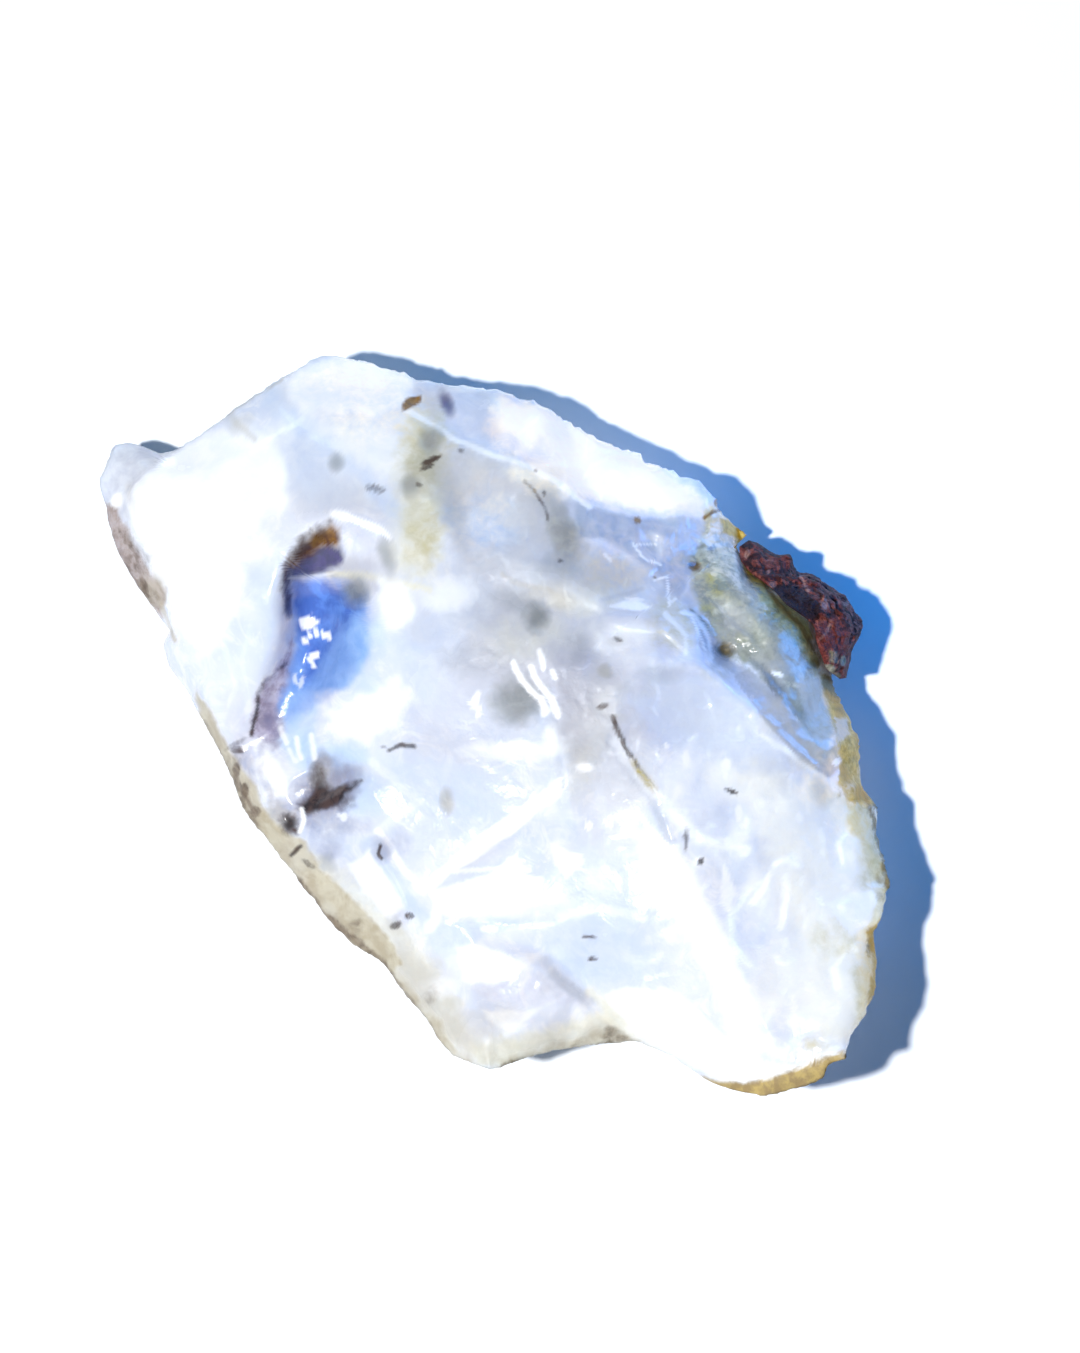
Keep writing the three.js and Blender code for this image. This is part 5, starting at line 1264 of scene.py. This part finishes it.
def makeHostRock():
    # a closed loop carried along the edge: over the lumpy top, down to its foot and back beside the opal
    stations, around = hostShape["stations"], hostShape["around"]
    inner, outer = (throughPoints([pair[side] for pair in hostShape["path"]], stations)[:, None, :]
                    for side in (0, 1))
    section = np.array(hostShape["section"] + hostShape["section"][:1])
    spans = np.hypot(np.diff(section[:, 0]) * 2.2, np.diff(section[:, 2] * 3 - section[:, 3] * 4))
    marks = np.concatenate([[0], np.cumsum(spans)])
    way = np.linspace(0, marks[-1], around, endpoint=False)
    share, add, fall, level, lumpy = [np.interp(way, marks, section[:, k])[None, :] for k in range(5)]
    across = outer[..., :2] - inner[..., :2]
    breadth = np.hypot(across[..., 0], across[..., 1])
    across = across / breadth[..., None]
    out = share * breadth + add * np.minimum(1, breadth / hostShape["seatWidth"])
    u = inner[..., 0] + across[..., 0] * out
    v = inner[..., 1] + across[..., 1] * out
    z = (inner[..., 2] - fall * (inner[..., 2] - outer[..., 2])) * level
    taper = np.sin(math.pi * np.linspace(0, 1, stations))[:, None] ** 0.5
    place = np.stack([u, v, z], -1)
    grain = hostShape["grain"]
    lumps = hostShape["lumps"] * solidNoise(place, 1.6, 91, 2) + grain * solidNoise(place, 0.42, 97, 3)
    warpU, warpV = u + 0.2 * latticeNoise(u, v, 0.5, 103), v + 0.2 * latticeNoise(u, v, 0.5, 105)
    chunks = brokenFacets(warpU, warpV, 0.9, 1.0, 99) + brokenFacets(warpU, v, 0.4, 1.0, 98)
    z = z + (lumps + hostShape["chunks"] * chunks) * lumpy * taper
    sideways = grain * solidNoise(place + 9, 0.5, 101, 3) * lumpy * taper
    u, v = u + across[..., 0] * sideways, v + across[..., 1] * sideways
    points = stand(u, v, z).reshape(-1, 3)
    index = np.arange(stations * around).reshape(stations, around)
    after = np.roll(index, -1, 1)
    quads = np.stack([index[:-1], index[1:], after[1:], after[:-1]], -1).reshape(-1, 4)
    caps = np.stack([points[index[0]].mean(0), points[index[-1]].mean(0)])
    start, end = len(points), len(points) + 1
    faces = [tuple(q) for q in quads.tolist()]
    faces += [(start, int(b), int(a)) for a, b in zip(after[0], index[0])]
    faces += [(end, int(a), int(b)) for a, b in zip(after[-1], index[-1])]
    allU, allV = (np.append(values.ravel(), [values[0].mean(), values[-1].mean()]) for values in (u, v))
    return addMesh("ironRock", np.concatenate([points, caps]), faces, paintMasks(hostPaint, allU, allV))


def tone(red, green, blue, gain=1.0):
    # a colour as it should show, 0 to 255, as linear light
    c = np.array([red, green, blue]) / 255
    linear = np.where(c <= 0.04045, c / 12.92, ((c + 0.055) / 1.055) ** 2.4) * gain
    return (float(linear[0]), float(linear[1]), float(linear[2]), 1.0)


class Tree:
    # a small helper that adds nodes and feeds their sockets
    def __init__(self, tree):
        self.tree = tree

    def feed(self, sockets, values):
        # each value is linked if it comes from another node, and else set on the socket itself
        for key, value in values.items():
            if isinstance(value, bpy.types.NodeSocket):
                self.tree.links.new(value, sockets[key])
            else:
                sockets[key].default_value = value

    def add(self, kind, inputs=None, **settings):
        node = self.tree.nodes.new(kind)
        for key, value in settings.items():
            setattr(node, key, value)
        self.feed(node.inputs, inputs or {})
        return node

    def noise(self, place, scale, detail=2.0, roughness=0.5, distortion=0.0):
        inputs = {"Vector": place, "Scale": scale, "Detail": detail, "Roughness": roughness,
                  "Distortion": distortion}
        return self.add("ShaderNodeTexNoise", inputs).outputs["Fac"]

    def ramp(self, value, low, high, top=1.0):
        inputs = {"Value": value, "From Min": low, "From Max": high, "To Max": top}
        return self.add("ShaderNodeMapRange", inputs).outputs[0]

    def attribute(self, name):
        return self.add("ShaderNodeAttribute", attribute_name=name).outputs["Fac"]

    def maths(self, operation, a, b=0.0, clamp=False):
        return self.add("ShaderNodeMath", {0: a, 1: b}, operation=operation, use_clamp=clamp).outputs[0]

    def mix(self, share, a, b):
        return self.add("ShaderNodeMix", {"Factor": share, 6: a, 7: b}, data_type="RGBA").outputs[2]


def newGroup(name, inputs, outputs):
    # an empty node group: inputs as name, kind and start value, outputs as name and kind
    group = bpy.data.node_groups.new(name, "ShaderNodeTree")
    for label, kind, value in inputs:
        socket = group.interface.new_socket(name=label, in_out="INPUT", socket_type=kind)
        if value is not None:
            socket.default_value = value
    for label, kind in outputs:
        group.interface.new_socket(name=label, in_out="OUTPUT", socket_type=kind)
    tree = Tree(group)
    return group, tree, tree.add("NodeGroupInput"), tree.add("NodeGroupOutput")


def millimetres(tree):
    # object coordinates in millimetres
    place = tree.add("ShaderNodeTexCoord").outputs["Object"]
    return tree.add("ShaderNodeVectorMath", {0: place, "Scale": 1 / mm}, operation="SCALE").outputs[0]


def brokenMaskGroup():
    # a painted mask whose edge is broken up by noise
    group, tree, given, result = newGroup(
        "brokenMask",
        [("Noise", "NodeSocketFloat", 0.5), ("Mask", "NodeSocketFloat", 0.0),
         ("Break", "NodeSocketFloat", 0.4)],
        [("Mask", "NodeSocketFloat")])
    noise, mask, breakUp = (given.outputs[name] for name in ("Noise", "Mask", "Break"))
    swing = tree.maths("MULTIPLY", tree.maths("SUBTRACT", noise, 0.5), breakUp)
    window = tree.maths("MULTIPLY", mask, tree.maths("SUBTRACT", 1.0, mask))
    push = tree.maths("MULTIPLY", tree.maths("MULTIPLY", window, 8.0), swing)
    tree.feed(result.inputs, {"Mask": tree.maths("ADD", mask, push, clamp=True)})
    return group


def breakUpNoises(tree, place):
    # coarse, middling and fine noise, shared by all layers of a material
    return {frequency: tree.noise(place, frequency, 3.0, 0.6, 0.3) for frequency in (0.8, 1.6, 3.2)}


def milkCloudGroup():
    # milky variation inside the opal: soft clouds, thin veils and small pale flecks
    group, tree, given, result = newGroup(
        "milkCloud",
        [("Place", "NodeSocketVector", None), ("Body", "NodeSocketColor", tone(224, 231, 249)),
         ("Veil", "NodeSocketColor", tone(206, 218, 246)), ("Milk", "NodeSocketColor", tone(245, 247, 253))],
        [("Color", "NodeSocketColor")])
    place, body, veil, milk = (given.outputs[name] for name in ("Place", "Body", "Veil", "Milk"))
    broad = tree.noise(place, 0.22, 3.0, 0.55, 0.8)
    veils = tree.noise(place, 0.6, 3.0, 0.62, 1.2)
    flecks = tree.noise(place, 3.0, 3.0)
    color = tree.mix(tree.ramp(broad, 0.4, 0.62), body, veil)
    color = tree.mix(tree.ramp(veils, 0.48, 0.68), color, milk)
    color = tree.mix(tree.ramp(flecks, 0.55, 0.75, 0.4), color, milk)
    tree.feed(result.inputs, {"Color": color})
    return group


def reliefGroup():
    # fine relief of a broken surface: ripples, small chips and grain
    group, tree, given, result = newGroup(
        "fineRelief",
        [("Place", "NodeSocketVector", None), ("Ripple", "NodeSocketFloat", 0.5),
         ("Chips", "NodeSocketFloat", 0.5), ("Grain", "NodeSocketFloat", 0.1)],
        [("Height", "NodeSocketFloat")])
    place = given.outputs["Place"]
    chips = tree.add("ShaderNodeTexVoronoi", {"Vector": place, "Scale": 1.1, "Detail": 2.0, "Roughness": 0.6,
                                              "Lacunarity": 2.3, "Randomness": 1.0}).outputs["Distance"]
    total = tree.maths("MULTIPLY", tree.noise(place, 0.9, 2.0, 0.5, 1.5), given.outputs["Ripple"])
    total = tree.maths("ADD", total, tree.maths("MULTIPLY", chips, given.outputs["Chips"]))
    grain = tree.maths("MULTIPLY", tree.noise(place, 7.0, 3.0, 0.65), given.outputs["Grain"])
    tree.feed(result.inputs, {"Height": tree.maths("ADD", total, grain)})
    return group


# the opal's layers, laid one over the other: mask, colour, second colour, patch frequency, break, share
opalLayers = [
    ("greyVeil", (184, 186, 196), (202, 204, 212), 0.6, 0.5, 0.9),
    ("lavender", (218, 217, 231), (206, 207, 222), 0.9, 0.35, 0.85),
    ("mist", (206, 220, 244), (220, 230, 246), 0.7, 0.4, 0.85),
    ("cream", (244, 240, 214), (230, 226, 200), 0.8, 0.4, 0.85),
    ("warmWhite", (263, 261, 250), (257, 257, 251), 0.8, 0.4, 0.9),
    ("straw", (226, 212, 158), (208, 196, 142), 1.4, 0.7, 0.85),
    ("slate", (164, 174, 194), (188, 194, 208), 0.9, 0.5, 0.9),
    ("mossy", (132, 136, 118), (170, 174, 156), 1.3, 1.1, 0.95),
    ("mossGreen", (116, 120, 78), (160, 162, 112), 1.4, 1.3, 0.92),
    ("mossPale", (180, 184, 170), (210, 212, 200), 1.8, 1.9, 0.7),
    ("mossGrey", (84, 92, 86), (122, 130, 122), 2.0, 1.0, 0.92),
    ("wedge", (170, 170, 172), (190, 190, 194), 1.4, 0.5, 0.9),
    ("dim", (170, 172, 184), (186, 188, 200), 0.8, 0.4, 0.9),
    # white stone and painted highlights
    ("whiteAndHighlight", (263, 263, 263), (256, 259, 263), 0.8, 0.4, 1.0),
    ("skyBlue", (116, 170, 240), (146, 190, 248), 0.7, 0.5, 0.95),
    ("paleBlue", (170, 206, 250), (194, 220, 252), 0.9, 0.6, 0.9),
    ("deepBlue", (64, 98, 186), (90, 134, 218), 0.7, 0.4, 0.9),
    ("indigo", (46, 40, 94), (74, 64, 124), 1.6, 0.3, 0.94),
    ("wallViolet", (178, 168, 194), (146, 130, 152), 1.4, 0.7, 0.9),
    ("dusk", (112, 102, 124), (138, 144, 178), 1.2, 0.6, 0.85),
    ("lobeGrey", (196, 200, 214), (222, 226, 234), 0.8, 0.4, 0.9),
    ("smoke", (118, 124, 126), (134, 138, 138), 1.4, 0.1, 0.85),
    ("umberAndShade", (190, 183, 168), (204, 199, 188), 0.9, 0.4, 0.85),
    ("mauveSkin", (178, 158, 150), (150, 128, 116), 1.8, 0.6, 0.9),
    ("skin", (208, 198, 170), (188, 174, 144), 0.9, 0.5, 0.9),
    ("darkSkinAndShade", (124, 104, 84), (88, 70, 56), 2.2, 0.8, 0.9),
    ("clay", (140, 126, 56), (182, 168, 100), 3.2, 1.0, 0.95),
    ("paleGrit", (206, 208, 196), (186, 192, 186), 4.0, 1.2, 0.9),
    ("darkRimAndShadow", (86, 76, 48), (118, 106, 72), 3.0, 1.0, 0.92),
    ("ochre", (200, 170, 84), (164, 134, 66), 1.8, 0.8, 0.92),
    ("amber", (150, 104, 20), (92, 50, 14), 1.1, 0.2, 0.97),
    ("brown", (42, 32, 30), (78, 58, 48), 2.2, 0.8, 0.95),
    # painted highlights, in pure white
    ("glint", (263, 263, 263), (263, 263, 263), 1.0, 0.2, 1.0),
]

opalLook = {
    "body": (234, 238, 248),
    "veil": (220, 228, 246),
    "milk": (247, 248, 252),
    "gain": 0.845,
    "roughness": (0.16, 0.32),
    "dullRoughness": 0.36,            # added where the skins and matte places are
    "scatter": 0.85,
    "scatterReach": (1.8, 1.35, 1.0),
    "scatterScale": 1.8 * mm,
    # colour of the painted glow's emission
    "glow": (0.27, 0.16, 0.0),
    "bump": 0.12,
    "solidLayers": ("brown", "amber", "indigo", "mossGrey"),
    "dullLayers": ("skin", "darkSkinAndShade", "clay", "paleGrit", "darkRimAndShadow", "ochre"),
}


def opalMaterial():
    material = bpy.data.materials.new("opalBody")
    material.use_nodes = True
    tree = Tree(material.node_tree)
    shader = material.node_tree.nodes["Principled BSDF"]
    place = millimetres(tree)
    gain = opalLook["gain"]
    cloud = tree.add("ShaderNodeGroup", node_tree=milkCloudGroup())
    tree.feed(cloud.inputs, {"Place": place, "Body": tone(*opalLook["body"], gain),
                             "Veil": tone(*opalLook["veil"], gain), "Milk": tone(*opalLook["milk"], gain)})
    noises = breakUpNoises(tree, place)
    color, masks = layOver(tree, noises, cloud.outputs["Color"], opalLayers, gain)
    dull = 0.0
    for name in opalLook["dullLayers"]:
        dull = tree.maths("MAXIMUM", dull, masks[name])
    solid = dull
    for name in opalLook["solidLayers"]:
        solid = tree.maths("MAXIMUM", solid, masks[name])
    least, most = opalLook["roughness"]
    rough = tree.maths("ADD", least, tree.maths("MULTIPLY", tree.noise(place, 0.8, 3.0), most - least))
    matte = tree.maths("MAXIMUM", dull, tree.attribute("matte"))
    rough = tree.maths("ADD", rough, tree.maths("MULTIPLY", matte, opalLook["dullRoughness"]))
    grain = tree.maths("ADD", 0.02, tree.maths("MULTIPLY", dull, 0.35))
    relief = tree.add("ShaderNodeGroup", node_tree=reliefGroup())
    tree.feed(relief.inputs, {"Place": place, "Ripple": 0.16, "Chips": 0.12, "Grain": grain})
    bump = tree.add("ShaderNodeBump", {"Height": relief.outputs["Height"], "Distance": opalLook["bump"] * mm})
    # painted glow: a warm emission where the glow mask lies
    glowEdge = tree.add("ShaderNodeGroup", node_tree=bpy.data.node_groups["brokenMask"])
    tree.feed(glowEdge.inputs, {"Noise": noises[1.6], "Mask": tree.attribute("glow"), "Break": 0.9})
    clear = tree.maths("SUBTRACT", 1.0, solid)
    tree.feed(shader.inputs, {
        "Base Color": color,
        "Roughness": rough,
        "Normal": bump.outputs[0],
        "IOR": 1.45,
        "Subsurface Weight": tree.maths("MULTIPLY", clear, opalLook["scatter"]),
        "Subsurface Radius": opalLook["scatterReach"],
        "Subsurface Scale": opalLook["scatterScale"],
        "Emission Color": tree.mix(glowEdge.outputs["Mask"], (0, 0, 0, 1), (*opalLook["glow"], 1)),
        "Emission Strength": 1.0,
    })
    shader.subsurface_method = "BURLEY"
    material.cycles.emission_sampling = "NONE"
    return material


hostLook = {
    "body": (118, 56, 52),
    "dark": (42, 22, 26),
    "bright": (160, 92, 80),
    "roughness": (0.42, 0.82),
    "bump": 0.3,
}

# the host rock's layers: mask, colour, second colour, patch frequency, break, share
hostLayers = [
    ("scarlet", (142, 66, 60), (116, 50, 48), 3.0, 1.2, 0.75),
    ("navy", (24, 20, 36), (44, 32, 44), 3.0, 1.4, 0.95),
    ("vein", (206, 160, 150), (180, 124, 116), 4.0, 0.6, 0.9),
    ("crystal", (206, 204, 184), (150, 148, 124), 4.0, 0.8, 0.9),
]


def layOver(tree, noises, color, layers, gain):
    # each layer's two colours, patched by noise, laid over what lies below by its broken mask
    broken = bpy.data.node_groups.get("brokenMask") or brokenMaskGroup()
    masks = {}
    for name, first, second, frequency, breakUp, share in layers:
        noise = noises[min(noises, key=lambda kept: abs(math.log(kept / frequency)))]
        edge = tree.add("ShaderNodeGroup", node_tree=broken)
        tree.feed(edge.inputs, {"Noise": noise, "Mask": tree.attribute(name), "Break": breakUp})
        layer = tree.mix(tree.ramp(noise, 0.4, 0.6), tone(*first, gain), tone(*second, gain))
        masks[name] = edge.outputs["Mask"]
        color = tree.mix(tree.maths("MULTIPLY", masks[name], share), color, layer)
    return color, masks


def hostMaterial():
    material = bpy.data.materials.new("hostRock")
    material.use_nodes = True
    tree = Tree(material.node_tree)
    shader = material.node_tree.nodes["Principled BSDF"]
    place = millimetres(tree)
    body, dark, bright = (tone(*hostLook[name]) for name in ("body", "dark", "bright"))
    broad = tree.noise(place, 1.6, 4.0, 0.7, 0.6)
    fine = tree.noise(place, 6.0, 3.0, 0.7)
    grains = tree.add("ShaderNodeTexVoronoi", {"Vector": place, "Scale": 4.2})
    sorts = tree.add("ShaderNodeSeparateColor", {"Color": grains.outputs["Color"]})
    oneInFive = tree.ramp(sorts.outputs[0], 0.8, 0.84, 0.75)
    oneInFour = tree.ramp(sorts.outputs[1], 0.75, 0.79, 0.75)
    color = tree.mix(tree.ramp(fine, 0.5, 0.68), body, bright)
    color = tree.mix(tree.ramp(broad, 0.53, 0.62), color, dark)
    color = tree.mix(oneInFive, color, bright)
    color = tree.mix(oneInFour, color, dark)
    color = layOver(tree, breakUpNoises(tree, place), color, hostLayers, 1.0)[0]
    least, most = hostLook["roughness"]
    rough = tree.maths("ADD", least, tree.maths("MULTIPLY", fine, most - least))
    relief = tree.add("ShaderNodeGroup", node_tree=bpy.data.node_groups["fineRelief"])
    tree.feed(relief.inputs, {"Place": place, "Ripple": 0.6, "Chips": 0.8, "Grain": 1.2})
    bump = tree.add("ShaderNodeBump", {"Height": relief.outputs["Height"], "Distance": hostLook["bump"] * mm})
    tree.feed(shader.inputs, {"Base Color": color, "Roughness": rough, "Normal": bump.outputs[0],
                              "Specular IOR Level": 0.25})
    return material


opal = makeOpal()
opal.data.materials.append(opalMaterial())
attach(opal, "root")
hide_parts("opal")
print("opal built:", len(opal.data.polygons), "faces")

host = makeHostRock()
host.data.materials.append(hostMaterial())
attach(host, "root")
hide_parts("host_rock")
print("host rock built:", len(host.data.polygons), "faces")

# floor, light and eye
light = {
    "keyPlace": (-260.0, -161.0, 745.0),   # mm; near enough for the shadows to fan out a little
    "keyPower": 32.0,
    "keyRadius": 20.0,
    "sky": (0.01, 0.05, 0.12),
    "skyStrength": 1.0,
    "floor": (244, 247, 250),
    "floorHalf": 3.0,                      # metres
}

# soft blue lamps that fill the shadow: place, what they look at, width (mm), power, colour
fills = {
    "fillRight": ((36.0, 17.0, 9.0), (14.0, 3.0, 2.0), 14.0, 0.0068, (0.03, 0.3, 1.0)),
    "fillTop": ((8.0, 44.0, 14.0), (2.0, 10.0, 2.0), 20.0, 0.0022, (0.1, 0.5, 1.0)),
}

half = light["floorHalf"]
floorMesh = bpy.data.meshes.new("table")
floorMesh.from_pydata([(-half, -half, 0), (half, -half, 0), (half, half, 0), (-half, half, 0)], [],
                      [(0, 1, 2, 3)])
floor = bpy.data.objects.new("table", floorMesh)
bpy.context.scene.collection.objects.link(floor)
floorLook = bpy.data.materials.new("paleTable")
floorLook.use_nodes = True
floorShader = floorLook.node_tree.nodes["Principled BSDF"]
floorShader.inputs["Base Color"].default_value = tone(*light["floor"])
floorShader.inputs["Roughness"].default_value = 0.9
floorMesh.materials.append(floorLook)

key = bpy.data.lights.new("key", "POINT")
key.energy = light["keyPower"]
key.shadow_soft_size = light["keyRadius"] * mm
keyObject = bpy.data.objects.new("key", key)
keyObject.location = Vector(light["keyPlace"]) * mm
bpy.context.scene.collection.objects.link(keyObject)

for name, (place, aimed, width, power, color) in fills.items():
    lamp = bpy.data.lights.new(name, "AREA")
    lamp.energy = power
    lamp.size = width * mm
    lamp.color = color
    lampObject = bpy.data.objects.new(name, lamp)
    lampObject.location = Vector(place) * mm
    lampObject.rotation_euler = (Vector(aimed) - Vector(place)).to_track_quat("-Z", "Y").to_euler()
    bpy.context.scene.collection.objects.link(lampObject)

world = bpy.data.worlds.new("sky")
bpy.context.scene.world = world
world.use_nodes = True
world.node_tree.nodes["Background"].inputs["Color"].default_value = (*light["sky"], 1)
world.node_tree.nodes["Background"].inputs["Strength"].default_value = light["skyStrength"]

middle = seen((view["pictureWide"] / 2, view["pictureHigh"] / 2))
aim = Vector(stand(middle[0], middle[1], view["planeHeight"]))
back = Vector((0, -math.cos(eyeAngle), math.sin(eyeAngle)))
eye = bpy.data.cameras.new("eye")
eye.sensor_fit = "VERTICAL"
eye.sensor_height = view["sensor"]
eye.sensor_width = view["sensor"]
eye.lens = view["sensor"] * view["distance"] / (view["pictureHigh"] / view["pixelsPerMm"])
eye.clip_start = 0.01
eye.clip_end = 20
eyeObject = bpy.data.objects.new("eye", eye)
eyeObject.location = aim + back * view["distance"] * mm
eyeObject.rotation_euler = (-back).to_track_quat("-Z", "Y").to_euler()
bpy.context.scene.collection.objects.link(eyeObject)
bpy.context.scene.camera = eyeObject
bpy.context.scene.view_settings.view_transform = "Standard"
print("scene set")
